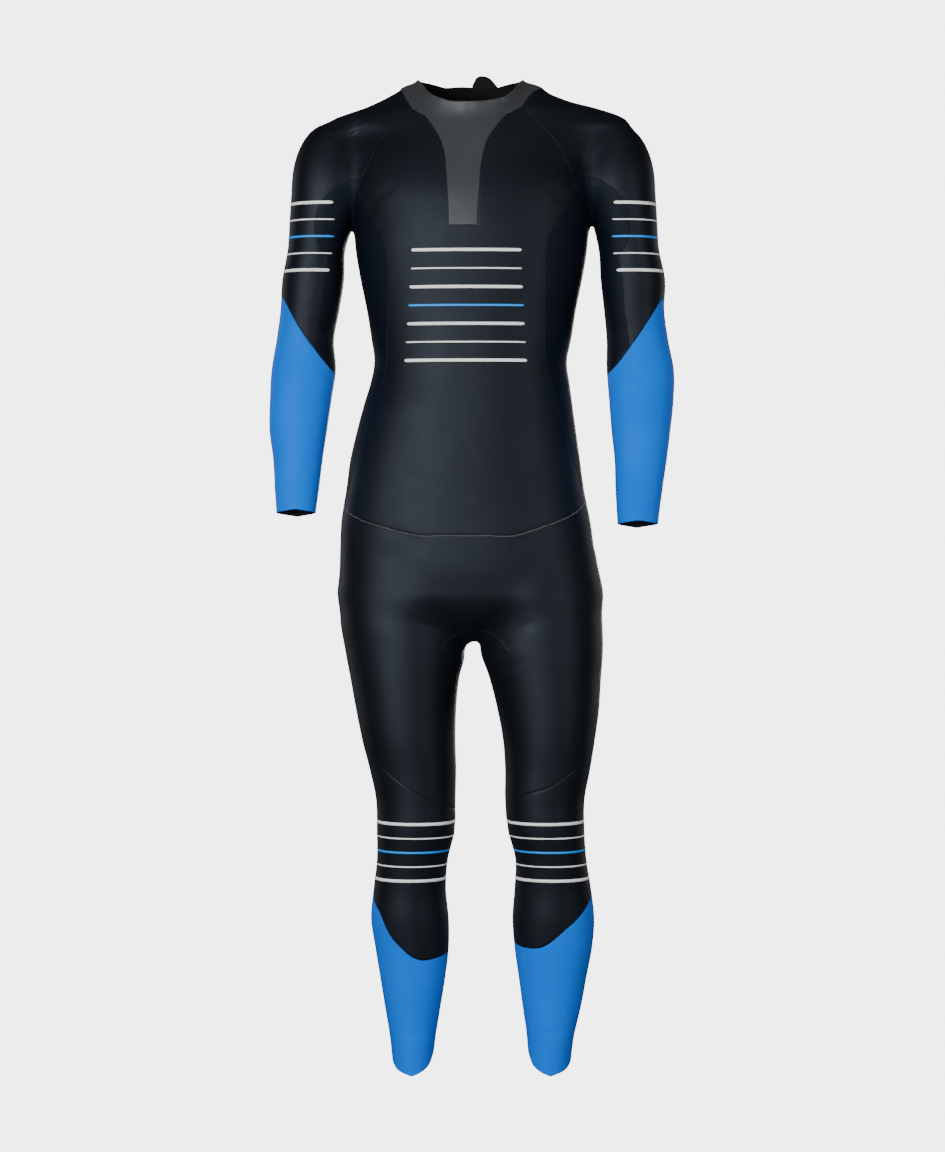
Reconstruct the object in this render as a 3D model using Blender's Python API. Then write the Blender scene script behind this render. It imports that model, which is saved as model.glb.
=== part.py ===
"""A full-length swimming wetsuit, filled out as when worn, with nobody in it.

The suit's skin is one smooth body: tubes for the trunk, neck, arms and legs, each given by a short table of
horizontal sections, blended where they meet. Seams are curves on that skin. The panels between them are grids
of points on the skin, given a thickness of neoprene inwards and kept a hair apart along every seam.

Units: metres, +Z up, +X to the right of somebody who faces the chest, which looks towards -Y.
The origin lies between the shoulders, level with the front of the neck, where the wearer carries the suit.
"""

import math

import bpy
import numpy as np
from mathutils import Vector

MM = 0.001

# Neoprene and seams
PANEL_THICKNESS = 3.0 * MM
SEAM_GAP = 0.3 * MM

# Zip on the back
ZIP_TAPE_HALF = 15.0 * MM
ZIP_CHAIN_WIDTH = 6.4 * MM
ZIP_CHAIN_HEIGHT = 2.2 * MM
SLIDER_LENGTH = 13.0 * MM
SLIDER_WIDTH = 9.4 * MM
SLIDER_HEIGHT = 3.2 * MM
SLIDER_PLACE = 0.62
BRIDGE_LENGTH = 8.4 * MM
BRIDGE_WIDTH = 2.2 * MM
BRIDGE_GAP = 2.8 * MM
BRIDGE_THICKNESS = 1.1 * MM
BRIDGE_ROOT = 0.5 * MM
BRIDGE_OVERLAP = 0.01 * MM
PULL_LENGTH = 42.0 * MM
PULL_WIDTH = 9.0 * MM
PULL_THICKNESS = 1.4 * MM
PULL_WINDOW = 6.4 * MM
PULL_ARM = 2.2 * MM
PULL_AXIS_HEIGHT = 1.4 * MM
PULL_REST_CLEARANCE = 1.2 * MM

# Closure flap across the back of the collar: its thickness, where its foot lies between the two lowest
# rows of the collar, and how far it stands above the rim: (columns from the middle of the back, millimetres)
FLAP_THICKNESS = 2.4 * MM
FLAP_FOOT = 0.25
FLAP_STAND = (
    (-3.6, 0.8), (-3.0, 0.8), (-2.5, 5.0), (-1.9, 11.0), (-1.3, 15.0), (-0.8, 15.8), (-0.4, 12.0), (0.0, 1.2),
    (1.0, 0.8), (2.0, 0.8), (3.0, 0.8),
)

# Grid density: columns and rows of each panel
FRONT_SIDE_COLUMNS = 4
STRIP_COLUMNS = 4
BACK_SIDE_COLUMNS = 4
ZIP_COLUMNS = 2
ZIP_RIB_ROWS = 8
GUSSET_ROWS = 3
SIDE_COLUMNS = 4
NECK_COLUMNS = 4
CROTCH_COLUMNS = 6
YOKE_ROWS = 6
RIB_ROWS = 10
HIP_ROWS = 5
SHOULDER_ROWS = 7
UPPER_ARM_ROWS = 4
FOREARM_ROWS = 7
GROIN_ROWS = 4
THIGH_ROWS = 6
KNEE_ROWS = 6
CALF_ROWS = 8
COLLAR_ROWS = 2

# Sections in millimetres, from the top down.
# height: level of the section. x, y: its centre. half: half its width. front, back: its depth each way.
# square: exponent of its outline, 2 for an ellipse and more for a squarer one.
SECTION = ("height", "x", "y", "half", "front", "back", "square")

NECK_SECTIONS = (
    (70, 0, -14, 70, 58, 60, 2.0),
    (43, 0, -10, 73, 60, 62, 2.0),
    (20, 0, -4, 76, 62, 64, 2.0),
    (0, 0, 0, 79, 64, 68, 2.0),
    (-40, 0, 2, 84, 66, 76, 2.0),
)

TRUNK_SECTIONS = (
    (26, 3, 6, 105, 36, 42, 2.0),
    (18, 4, 7, 121, 40, 46, 2.0),
    (9, 8, 8, 143, 45, 51, 2.0),
    (2, 14, 8, 165, 49, 55, 2.0),
    (-5, 16, 8, 187, 54, 60, 2.0),
    (-13, 15, 8, 208, 58, 66, 2.0),
    (-24, 16, 7, 213, 65, 74, 2.0),
    (-36, 14, 6, 196, 73, 82, 2.0),
    (-73, 3, 2, 174, 92, 102, 2.2),
    (-116, 2, 0, 174, 106, 114, 2.3),
    (-160, 2, 0, 171, 112, 116, 2.3),
    (-204, 2, 0, 168, 112, 112, 2.3),
    (-247, 2, 0, 161, 108, 106, 2.3),
    (-291, 2, 0, 152, 104, 99, 2.3),
    (-335, 2, 0, 145, 101, 90, 2.3),
    (-366, 1, 0, 140, 100, 84, 2.3),
    (-400, 0, 0, 145, 101, 84, 2.3),
    (-422, -2, 0, 150, 102, 87, 2.3),
    (-466, -5, 0, 159, 103, 95, 2.3),
    (-509, -7, 0, 167, 103, 105, 2.3),
    (-553, -7, 0, 173, 102, 115, 2.3),
    (-597, -6, 0, 181, 101, 121, 2.3),
    (-640, -4, 0, 185, 100, 123, 2.3),
    (-698, -1, 0, 189, 98, 119, 2.3),
)

LEFT_ARM_SECTIONS = (
    (-116, -205, 4, 54, 58, 58, 2.1),
    (-160, -214, 5, 48, 55, 56, 2.1),
    (-204, -223, 7, 42, 51, 52, 2.1),
    (-247, -228, 10, 45, 49, 50, 2.1),
    (-291, -233, 13, 43, 46, 47, 2.1),
    (-335, -240, 15, 42, 43, 43, 2.1),
    (-378, -242, 11, 47, 42, 41, 2.1),
    (-422, -246, 2, 45, 41, 39, 2.1),
    (-466, -249, -9, 42, 37, 36, 2.1),
    (-509, -249, -21, 36, 32, 32, 2.0),
    (-553, -250, -33, 32, 28, 28, 2.0),
    (-600, -251, -46, 27, 25, 25, 2.0),
)

RIGHT_ARM_SECTIONS = (
    (-116, 214, 4, 55, 58, 58, 2.1),
    (-160, 224, 5, 48, 55, 56, 2.1),
    (-204, 231, 7, 44, 51, 52, 2.1),
    (-247, 237, 10, 47, 49, 50, 2.1),
    (-291, 239, 13, 44, 46, 47, 2.1),
    (-335, 244, 15, 45, 43, 43, 2.1),
    (-378, 248, 11, 49, 42, 41, 2.1),
    (-422, 249, 2, 47, 41, 39, 2.1),
    (-466, 248, -9, 43, 37, 36, 2.1),
    (-509, 247, -21, 38, 32, 32, 2.0),
    (-553, 244, -33, 34, 28, 28, 2.0),
    (-616, 241, -50, 28, 25, 25, 2.0),
)

LEFT_LEG_SECTIONS = (
    (-660, -98, 4, 80, 84, 100, 2.1),
    (-698, -99, 4, 87, 90, 110, 2.1),
    (-742, -99, 4, 90, 93, 110, 2.1),
    (-786, -95, 4, 87, 92, 100, 2.1),
    (-829, -95, 2, 79, 88, 90, 2.1),
    (-873, -93, 0, 73, 83, 82, 2.1),
    (-917, -89, -2, 68, 77, 74, 2.1),
    (-960, -83, -3, 63, 70, 66, 2.1),
    (-1004, -79, -3, 58, 65, 58, 2.1),
    (-1048, -79, 0, 57, 63, 56, 2.1),
    (-1091, -84, 5, 52, 57, 60, 2.1),
    (-1135, -88, 10, 53, 54, 64, 2.0),
    (-1179, -88, 14, 57, 54, 66, 2.0),
    (-1222, -85, 17, 54, 50, 62, 2.0),
    (-1266, -84, 20, 48, 46, 54, 2.0),
    (-1310, -84, 22, 41, 42, 46, 2.0),
    (-1353, -84, 22, 34, 38, 40, 2.0),
    (-1412, -84, 21, 28, 35, 37, 2.0),
)

RIGHT_LEG_SECTIONS = (
    (-660, 102, 4, 80, 84, 100, 2.1),
    (-698, 103, 4, 87, 90, 110, 2.1),
    (-742, 104, 4, 89, 93, 110, 2.1),
    (-786, 105, 4, 89, 92, 100, 2.1),
    (-829, 110, 2, 81, 88, 90, 2.1),
    (-873, 114, 0, 74, 83, 82, 2.1),
    (-917, 115, -2, 67, 77, 74, 2.1),
    (-960, 113, -3, 62, 70, 66, 2.1),
    (-1004, 109, -3, 58, 65, 58, 2.1),
    (-1048, 111, 0, 56, 63, 56, 2.1),
    (-1091, 118, 5, 52, 57, 60, 2.1),
    (-1135, 121, 10, 56, 54, 64, 2.0),
    (-1179, 122, 14, 60, 54, 66, 2.0),
    (-1222, 122, 17, 57, 50, 62, 2.0),
    (-1266, 121, 20, 50, 46, 54, 2.0),
    (-1310, 120, 22, 43, 42, 46, 2.0),
    (-1353, 118, 22, 35, 38, 40, 2.0),
    (-1412, 116, 21, 30, 35, 37, 2.0),
)

# Round ends where a tube stops inside its neighbour: level where the rounding starts, and its height
SHOULDER_CAP = (-116, 94)
THIGH_CAP = (-660, 60)
NECK_BASE_CAP = (26, 18)
TRUNK_CAP = (-698, 62)
NECK_CAP = (-40, 60)

# How softly two tubes run into each other: (height, blend) in millimetres
NECK_BLEND = ((60, 12), (-60, 22))
ARM_BLEND = ((-10, 16), (-40, 26), (-120, 22), (-170, 8), (-230, 0.5))
LEG_BLEND = ((-640, 8), (-730, 22), (-800, 14))
CROTCH_BLEND = ((-700, 16), (-800, 14), (-840, 1))

# Seams. Angles go round a section in degrees: 0 is the front, -90 the left side, 90 the right, 180 the back.
# (x, height) of the collar seam across the front and the back
COLLAR_FRONT = ((-84, -3), (-64, -17), (-45, -27), (-8, -33), (30, -28), (52, -15), (75, -1))
COLLAR_BACK = ((-74, 12), (0, 9), (74, 12))
COLLAR_SIDE_RISE = 23
COLLAR_RIM = ((0, 3), (28, 5), (46, 11), (61, 21), (76, 35), (90, 42), (130, 40), (180, 36))
WAIST_SEAM = (
    (-180, -540), (-135, -555), (-90, -578), (-58, -591), (-31, -613), (0, -618), (16, -611),
    (35, -598), (52, -582), (70, -562), (90, -552), (135, -543), (180, -540),
)
HIP_LINE = (
    (-180, -742), (-130, -720), (-90, -700), (-45, -722), (0, -752), (45, -722), (90, -700),
    (130, -720), (180, -742),
)
# (x, height) of the seams that the front shows, from the top down
LEFT_RAGLAN_FRONT = ((-84, -3), (-106, -25), (-128, -48), (-148, -90), (-163, -124))
RIGHT_RAGLAN_FRONT = ((75, -1), (95, -25), (121, -50), (140, -83), (152, -118))
LEFT_RAGLAN_BACK = ((-74, 12), (-104, -24), (-132, -60), (-152, -96), (-163, -130))
RIGHT_RAGLAN_BACK = ((74, 12), (104, -24), (132, -60), (150, -96), (158, -130))
LEFT_FRONT_SIDE = (
    (-163, -124), (-143, -150), (-116, -202), (-111, -239), (-115, -361), (-122, -409),
    (-135, -424), (-151, -486), (-169, -538), (-180, -578),
)
RIGHT_FRONT_SIDE = (
    (152, -118), (121, -169), (106, -198), (103, -239), (102, -351), (111, -406),
    (119, -422), (144, -511), (158, -545), (166, -566),
)
# (angle from the middle of the back, height) of the side seams on the back
LEFT_BACK_SIDE = ((-62, -130), (-56, -215), (-60, -360), (-72, -565))
RIGHT_BACK_SIDE = ((60, -130), (56, -215), (60, -360), (72, -550))
# (height, x of its left edge, x of its right edge) of the grey strip down the chest, and of the same columns
# below it
STRIP_EDGES = (
    (-19, -63, 50), (-29, -54, 37), (-44, -46, 29), (-60, -39, 22), (-76, -36, 18), (-94, -34, 15),
    (-125, -32, 13), (-177, -30, 10), (-300, -62, 46), (-618, -74, 62),
)
STRIP_BOTTOM = -177
# How far a side panel's first row hangs down under the armpit, and the share of it that each next row keeps
ARMPIT_DROP = 46
ARMPIT_FADE = 0.55

# Above FACE_REFERENCE the trunk narrows to the neck, so the panels keep to that level's angles. Between the
# two FACE_FADE heights their points turn from being placed by x to being placed by angle.
FACE_REFERENCE = -73
FACE_FADE = (-125, -215)

# How far the columns of the hips move from the seams' places above to even spacing below
HIP_EVENING = 0.8
# How far above the point where the legs part the crotch's middle line is cast from
CROTCH_START_HEIGHT = 110

# Where arm and trunk part, and where the legs part: a line along Y that the rings fan out from
LEFT_ARM_PIVOT = (-172, -216)
RIGHT_ARM_PIVOT = (179, -216)
LEG_PIVOT = (5, -806)
# (tilt of the ring from upright, distance from the pivot to the ring's middle)
ARM_FAN = ((-24, 132), (0, 116), (30, 98), (60, 74), (90, 51))
LEG_FAN = ((0, 62), (45, 80), (90, 105))

# Angles round a limb between which its columns are shared out: over, front, under and back of the sleeve, and
# outer and inner half of the leg
SLEEVE_QUARTERS = (-36, 36, 126, 216, 324)
LEG_HALVES = (-120, 120, 240)
# Angles round the trunk between which the hips' columns are shared out: back, side, front, side and back
HIP_PARTS = (-180, -120, -75, 75, 120, 180)

# Limb seams. Angles go round the limb: 0 is the outer side, 90 the front, 180 the inner side, 270 the back.
FOREARM_SEAM = (
    (0, -264), (40, -282), (90, -330), (140, -374), (180, -388), (230, -372), (290, -312), (360, -264),
)
LEFT_CUFF = ((0, -586), (90, -580), (180, -586), (270, -592), (360, -586))
RIGHT_CUFF = ((0, -602), (90, -596), (180, -602), (270, -608), (360, -602))
LEFT_KNEE_SEAM = ((0, -925), (50, -952), (90, -988), (130, -1010), (180, -1016), (270, -985), (360, -925))
RIGHT_KNEE_SEAM = ((0, -925), (50, -950), (90, -982), (130, -995), (180, -997), (270, -980), (360, -925))
LEFT_CALF_SEAM = (
    (0, -1136), (40, -1168), (60, -1206), (90, -1231), (110, -1237), (130, -1234), (180, -1227),
    (270, -1190), (360, -1136),
)
RIGHT_CALF_SEAM = (
    (0, -1139), (30, -1155), (48, -1172), (72, -1190), (91, -1206), (108, -1216), (128, -1220),
    (163, -1216), (270, -1185), (360, -1139),
)
ANKLE_HEM = ((0, -1386), (45, -1400), (90, -1408), (135, -1396), (180, -1370), (270, -1362), (360, -1386))

# Search along a ray for the skin: coarse steps in millimetres, then halvings
CAST_STEPS = 64
CAST_STRIDE = 5.0
CAST_HALVINGS = 16

# name: colour, roughness, metallic
MATERIALS = {
    "neoprene": ((0.012, 0.014, 0.018), 0.42, 0.0),
    "neoprene_navy": ((0.010, 0.014, 0.026), 0.48, 0.0),
    "neoprene_blue": ((0.0, 0.21, 0.65), 0.45, 0.0),
    "neoprene_grey": ((0.055, 0.055, 0.057), 0.5, 0.0),
    "zip_tape": ((0.01, 0.01, 0.011), 0.8, 0.0),
    "zip_metal": ((0.25, 0.25, 0.26), 0.35, 1.0),
    "pull_plastic": ((0.015, 0.015, 0.016), 0.45, 0.0),
}

# How a panel's name starts, and its material; the rest are plain neoprene
PANEL_MATERIALS = (
    ("forearm", "neoprene_blue"), ("calf", "neoprene_blue"), ("collar_front", "neoprene_grey"),
    ("front_strip", "neoprene_grey"), ("side", "neoprene_navy"), ("zip_tape", "zip_tape"),
)


# ---------------------------------------------------------------- the skin

def smooth_rows(table, at):
    """Reads a table's columns at the given heights or angles, along smooth curves through its rows."""
    rows = np.array(table, float)
    if rows[0, 0] > rows[-1, 0]:
        rows = rows[::-1]
    keys, values = rows[:, 0], rows[:, 1:]
    slopes = np.gradient(values, keys, axis=0)
    at = np.clip(at, keys[0], keys[-1])
    i = np.clip(np.searchsorted(keys, at) - 1, 0, len(keys) - 2)
    width = (keys[i + 1] - keys[i])[:, None]
    t = (at - keys[i])[:, None] / width
    rise = values[i + 1] - values[i]
    first, last = slopes[i] * width, slopes[i + 1] * width
    return values[i] + t * first + t ** 2 * (3 * rise - 2 * first - last) + t ** 3 * (first + last - 2 * rise)


def section_at(sections, height):
    """The named sizes of a tube at each height."""
    return dict(zip(SECTION[1:], smooth_rows(sections, np.atleast_1d(height)).T))


def tube(points, sections, top_cap=None, bottom_cap=None):
    """Signed distance, near enough, from each point to a tube; negative inside."""
    x, y, z = points.T
    s = section_at(sections, z)
    depth = np.where(y < s["y"], s["front"], s["back"])
    across = np.abs(x - s["x"]) / s["half"] + 1e-9
    along = np.abs(y - s["y"]) / depth + 1e-9
    n = s["square"]
    ring = (across ** n + along ** n) ** (1 / n)
    slope = np.hypot((across / ring) ** (n - 1) / s["half"], (along / ring) ** (n - 1) / depth)
    rise = np.zeros_like(z)
    rise_slope = np.zeros_like(z)
    for cap, way in ((top_cap, 1), (bottom_cap, -1)):
        if cap:
            past = way * (z - cap[0]) / cap[1]
            rise_slope = np.where(past > rise, 1 / cap[1], rise_slope)
            rise = np.maximum(rise, past)
    total = np.hypot(ring, rise)
    return (total - 1) / np.hypot(slope * ring / total, rise_slope * rise / total)


def blend(a, b, softness):
    """Joins two distances with a soft hollow between them."""
    h = np.maximum(softness - np.abs(a - b), 0) / softness
    return np.minimum(a, b) - h * h * softness / 4


def skin(points):
    """Signed distance in millimetres from the whole suit's outer skin; points in millimetres."""
    z = points[:, 2]
    legs = blend(tube(points, LEFT_LEG_SECTIONS, top_cap=THIGH_CAP),
                 tube(points, RIGHT_LEG_SECTIONS, top_cap=THIGH_CAP), smooth_rows(CROTCH_BLEND, z)[:, 0])
    trunk = tube(points, TRUNK_SECTIONS, top_cap=NECK_BASE_CAP, bottom_cap=TRUNK_CAP)
    body = blend(trunk, legs, smooth_rows(LEG_BLEND, z)[:, 0])
    neck = tube(points, NECK_SECTIONS, bottom_cap=NECK_CAP)
    body = blend(body, neck, smooth_rows(NECK_BLEND, z)[:, 0])
    for arm in (LEFT_ARM_SECTIONS, RIGHT_ARM_SECTIONS):
        body = blend(body, tube(points, arm, top_cap=SHOULDER_CAP), smooth_rows(ARM_BLEND, z)[:, 0])
    return body


def normals(points):
    """Outward directions of the skin at points on or near it."""
    step = 0.4
    axes = np.eye(3) * step
    grad = np.stack([skin(points + a) - skin(points - a) for a in axes], axis=1)
    return grad / np.linalg.norm(grad, axis=1, keepdims=True)


def cast(inside, towards):
    """Goes from inside the suit through a second point, to the first place where the ray leaves the skin."""
    inside, towards = np.broadcast_arrays(np.asarray(inside, float), np.asarray(towards, float))
    shape = towards.shape
    inside, ray = inside.reshape(-1, 3), (towards - inside).reshape(-1, 3)
    ray = ray / np.linalg.norm(ray, axis=1, keepdims=True)
    low = np.zeros(len(ray))
    found = np.zeros(len(ray), bool)
    for k in range(1, CAST_STEPS):
        out = skin(inside + ray * (k * CAST_STRIDE)) > 0
        low = np.where(out | found, low, k * CAST_STRIDE)
        found |= out
    high = low + CAST_STRIDE
    for _ in range(CAST_HALVINGS):
        middle = (low + high) / 2
        out = skin(inside + ray * middle[:, None]) > 0
        low, high = np.where(out, low, middle), np.where(out, middle, high)
    return (inside + ray * low[:, None]).reshape(shape)


# ---------------------------------------------------------------- seams

def along(table, count):
    """Points spaced evenly along a line through the rows of a table."""
    rows = np.array(table, float)
    legs = np.linalg.norm(np.diff(rows, axis=0), axis=1)
    at = np.concatenate([[0], np.cumsum(legs)])
    steps = np.linspace(0, at[-1], count + 1)
    return np.stack([np.interp(steps, at, rows[:, k]) for k in range(rows.shape[1])], axis=1)


def round_trunk(angle, height):
    """Skin point at an angle round the trunk."""
    s = section_at(TRUNK_SECTIONS, np.minimum(height, FACE_REFERENCE))
    turn = np.radians(angle)
    depth = np.where(np.cos(turn) > 0, s["front"], s["back"])
    centre = np.stack([s["x"], s["y"], height], axis=-1)
    out = np.stack([s["half"] * np.sin(turn), -depth * np.cos(turn), height * 0], axis=-1)
    return cast(centre, centre + out)


def angle_of(x, height):
    """Angle round the trunk whose section point lies at this x."""
    s = section_at(TRUNK_SECTIONS, np.minimum(height, FACE_REFERENCE))
    return np.degrees(np.arcsin(np.clip((x - s["x"]) / s["half"], -0.999, 0.999)))


def width_angle(width, height):
    """Angle that a distance from the middle of a section spans."""
    s = section_at(TRUNK_SECTIONS, np.minimum(height, FACE_REFERENCE))
    return np.degrees(np.arcsin(width / s["half"]))


def on_face(angle, height, way):
    """Skin point on the chest (way -1) or back (way 1); high up it keeps its x, lower down its angle."""
    s = section_at(TRUNK_SECTIONS, np.minimum(height, FACE_REFERENCE))
    turn = np.radians(angle)
    x = s["x"] + s["half"] * np.sin(turn)
    depth = np.where(way < 0, s["front"], s["back"])
    y = s["y"] + way * depth * np.abs(np.cos(turn))
    keep = np.clip((height - FACE_FADE[1]) / (FACE_FADE[0] - FACE_FADE[1]), 0, 1)
    start = np.stack([s["x"] + (x - s["x"]) * keep, s["y"], height], axis=-1)
    return cast(start, np.stack([x, y, height], axis=-1))


def armhole(corner, pivot, count):
    """The lowest part of an armhole, from the front seam under the arm to the back seam."""
    turn = np.linspace(0, math.pi, count + 1)
    x = corner[0] + (pivot[0] - corner[0]) * np.sin(turn)
    start = np.stack([x, turn * 0, turn * 0 + corner[1]], axis=1)
    way = np.stack([turn * 0, -np.cos(turn), -np.sin(turn)], axis=1)
    return cast(start, start + way)


# ---------------------------------------------------------------- grids of skin points

class Skin:
    """Grids of skin points and the piece that each of their cells belongs to."""

    def __init__(self):
        self.points = []
        self.index = {}
        self.cells = {}

    def vertex(self, point):
        key = tuple(np.round(point, 2))
        if key not in self.index:
            self.index[key] = len(self.points)
            self.points.append(np.array(point, float))
        return self.index[key]

    def add(self, grid, name_of, flip=False):
        """Adds a grid; name_of gives a cell's piece from its row and column."""
        ids = [[self.vertex(p) for p in row] for row in grid]
        for r in range(len(grid) - 1):
            for c in range(len(grid[0]) - 1):
                corners = [ids[r][c], ids[r + 1][c], ids[r + 1][c + 1], ids[r][c + 1]]
                self.cells.setdefault(name_of(r, c), []).append(corners[::-1] if flip else corners)


def span(*parts):
    """Values across a grid: each part is (first, last, columns), and neighbours share their ends."""
    first = [np.linspace(a, b, n + 1)[:-1] for a, b, n in parts]
    return np.concatenate(first + [[parts[-1][1]]])


def shared_out(bounds, counts):
    """Values across a grid: so many even steps between each two bounds."""
    return span(*zip(bounds[:-1], bounds[1:], counts))


def face_grid(left, right, middle, way, side_columns, middle_columns, top_row):
    """The chest or the back: rows of points from the left seam, over the middle, to the right seam."""
    rows = []
    columns = (side_columns, middle_columns, side_columns)
    for r, (l, (start, end, level), k) in enumerate(zip(left, middle, right)):
        angles = shared_out((l[0], start, end, k[0]), columns)
        heights = shared_out((l[1], level, level, k[1]), columns)
        if r == 0:
            table = np.array(top_row, float)
            s = section_at(TRUNK_SECTIONS, FACE_REFERENCE)
            heights = np.interp(s["x"] + s["half"] * np.sin(np.radians(angles)), table[:, 0], table[:, 1])
        rows.append(on_face(angles, heights, way))
    return np.array(rows)


def seam_angles(seam):
    """Turns (x, height) rows into (angle, height) rows."""
    return np.stack([angle_of(seam[:, 0], seam[:, 1]), seam[:, 1]], axis=1)


def chest_grid():
    left = np.concatenate([along(LEFT_RAGLAN_FRONT, YOKE_ROWS), along(LEFT_FRONT_SIDE, RIB_ROWS)[1:]])
    right = np.concatenate([along(RIGHT_RAGLAN_FRONT, YOKE_ROWS), along(RIGHT_FRONT_SIDE, RIB_ROWS)[1:]])
    waist = np.interp(0, *zip(*WAIST_SEAM))
    heights = span((STRIP_EDGES[0][0], STRIP_BOTTOM, YOKE_ROWS), (STRIP_BOTTOM, waist, RIB_ROWS))
    edges = smooth_rows(STRIP_EDGES, heights)
    middle = np.stack([*angle_of(edges.T, heights), heights], axis=1)
    return face_grid(seam_angles(left), seam_angles(right), middle, -1, FRONT_SIDE_COLUMNS, STRIP_COLUMNS,
                     COLLAR_FRONT)


def back_grid():
    left, right = (
        np.concatenate([seam_angles(along(raglan, YOKE_ROWS)), along(side_seam, RIB_ROWS)[1:]])
        for raglan, side_seam in ((LEFT_RAGLAN_BACK, LEFT_BACK_SIDE), (RIGHT_RAGLAN_BACK, RIGHT_BACK_SIDE)))
    waist = WAIST_SEAM[0][1]
    heights = span((COLLAR_BACK[1][1], left[YOKE_ROWS][1], YOKE_ROWS), (left[YOKE_ROWS][1], waist, RIB_ROWS))
    half = width_angle(ZIP_TAPE_HALF / MM, heights)
    middle = np.stack([-half, half, heights], axis=1)
    return face_grid(left, right, middle, 1, BACK_SIDE_COLUMNS, ZIP_COLUMNS, COLLAR_BACK)


def side_grid(side, corner, pivot, front_edge, back_edge):
    """A side panel, from the armhole down to the waist seam, between the chest and the back."""
    rows = [armhole(corner, pivot, SIDE_COLUMNS)]
    rows[0][0], rows[0][-1] = front_edge[0], back_edge[0]
    for r in range(1, len(front_edge)):
        front, back = ring_angles(np.array([front_edge[r], back_edge[r]]))
        angles = np.linspace(front, back if side * back > 0 else back + side * 360, SIDE_COLUMNS + 1)
        across = np.linspace(0, 1, SIDE_COLUMNS + 1)
        drop = ARMPIT_DROP * ARMPIT_FADE ** (r - 1) * np.sin(across * math.pi)
        heights = np.linspace(front_edge[r][2], back_edge[r][2], SIDE_COLUMNS + 1) - drop
        row = round_trunk(angles, heights)
        row[0], row[-1] = front_edge[r], back_edge[r]
        rows.append(row)
    return np.array(rows)


def ring_angles(points):
    """Angles round the trunk of skin points."""
    s = section_at(TRUNK_SECTIONS, np.minimum(points[:, 2], FACE_REFERENCE))
    y = points[:, 1] - s["y"]
    depth = np.where(y < 0, s["front"], s["back"])
    return np.degrees(np.arctan2((points[:, 0] - s["x"]) / s["half"], -y / depth))


def hip_grid(waist, even):
    """From the waist seam to the hip line, all round; waist is a closed ring that starts at the back."""
    angles = ring_angles(waist)
    angles[0], angles[-1] = -180, 180
    rows = [waist]
    for t in np.linspace(0, 1, HIP_ROWS + 1)[1:]:
        turn = angles + (even - angles) * t * HIP_EVENING
        heights = waist[:, 2] + (np.interp(turn, *zip(*HIP_LINE)) - waist[:, 2]) * t
        rows.append(round_trunk(turn, heights))
    for row in rows[1:]:
        row[-1] = row[0]
    return np.array(rows)


def crotch_line(front, back):
    """From the middle of the front, under the crotch, to the middle of the back."""
    start = np.array([LEG_PIVOT[0], (front[1] + back[1]) / 2, LEG_PIVOT[1] + CROTCH_START_HEIGHT])
    ends = [math.atan2(p[1] - start[1], start[2] - p[2]) for p in (front, back)]
    turn = np.linspace(ends[0], ends[1], CROTCH_COLUMNS + 1)
    share = np.abs(np.linspace(-1, 1, CROTCH_COLUMNS + 1)) ** 2
    x = LEG_PIVOT[0] + ((front[0] + back[0]) / 2 - LEG_PIVOT[0]) * share
    begin = np.stack([x, x * 0 + start[1], x * 0 + start[2]], axis=1)
    line = cast(begin, begin + np.stack([x * 0, np.sin(turn), -np.cos(turn)], axis=1))
    line[0], line[-1] = front, back
    return line


def fan_grid(loop, side, pivot, fan, sections, rows, last):
    """Rings that turn about the pivot line, from a slanting loop to the limb's first level ring."""
    tilt = np.degrees(np.arctan2(side * (loop[:, 0] - pivot[0]), loop[:, 2] - pivot[1]))
    middle_y = section_at(sections, np.full(1, float(pivot[1])))["y"][0]

    def ring_frame(tilts):
        turn = np.radians(tilts)
        outward = np.stack([side * np.sin(turn), turn * 0, np.cos(turn)], axis=1)
        reach = np.interp(tilts, *zip(*fan))
        centre = np.array([pivot[0], middle_y, pivot[1]]) + outward * reach[:, None]
        return centre, outward

    centre, outward = ring_frame(tilt)
    offset = loop - centre
    first = np.unwrap(np.arctan2(-offset[:, 1], (offset * outward).sum(axis=1)))
    last = np.radians(last)
    grid = [loop]
    for t in np.linspace(0, 1, rows + 1)[1:]:
        centre, outward = ring_frame(tilt + (90 - tilt) * t)
        turn = (first + (last - first) * t)[:, None]
        grid.append(cast(centre, centre + np.cos(turn) * outward + np.sin(turn) * np.array([0, -1, 0])))
        grid[-1][-1] = grid[-1][0]
    return np.array(grid)


def limb_grid(top, side, sections, angles, start, end, rows):
    """Rings down a limb between two levels or seams, each given as rows of (angle, height)."""
    wrapped = np.mod(angles, 360)
    begin = np.interp(wrapped, *zip(*start))
    finish = np.interp(wrapped, *zip(*end))
    turn = np.radians(angles)
    way = np.stack([side * np.cos(turn), -np.sin(turn), turn * 0], axis=1)
    grid = [top]
    for t in np.linspace(0, 1, rows + 1)[1:]:
        heights = begin + (finish - begin) * t
        s = section_at(sections, heights)
        centre = np.stack([s["x"], s["y"], heights], axis=1)
        grid.append(cast(centre, centre + way))
        grid[-1][-1] = grid[-1][0]
    return np.array(grid)


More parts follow.
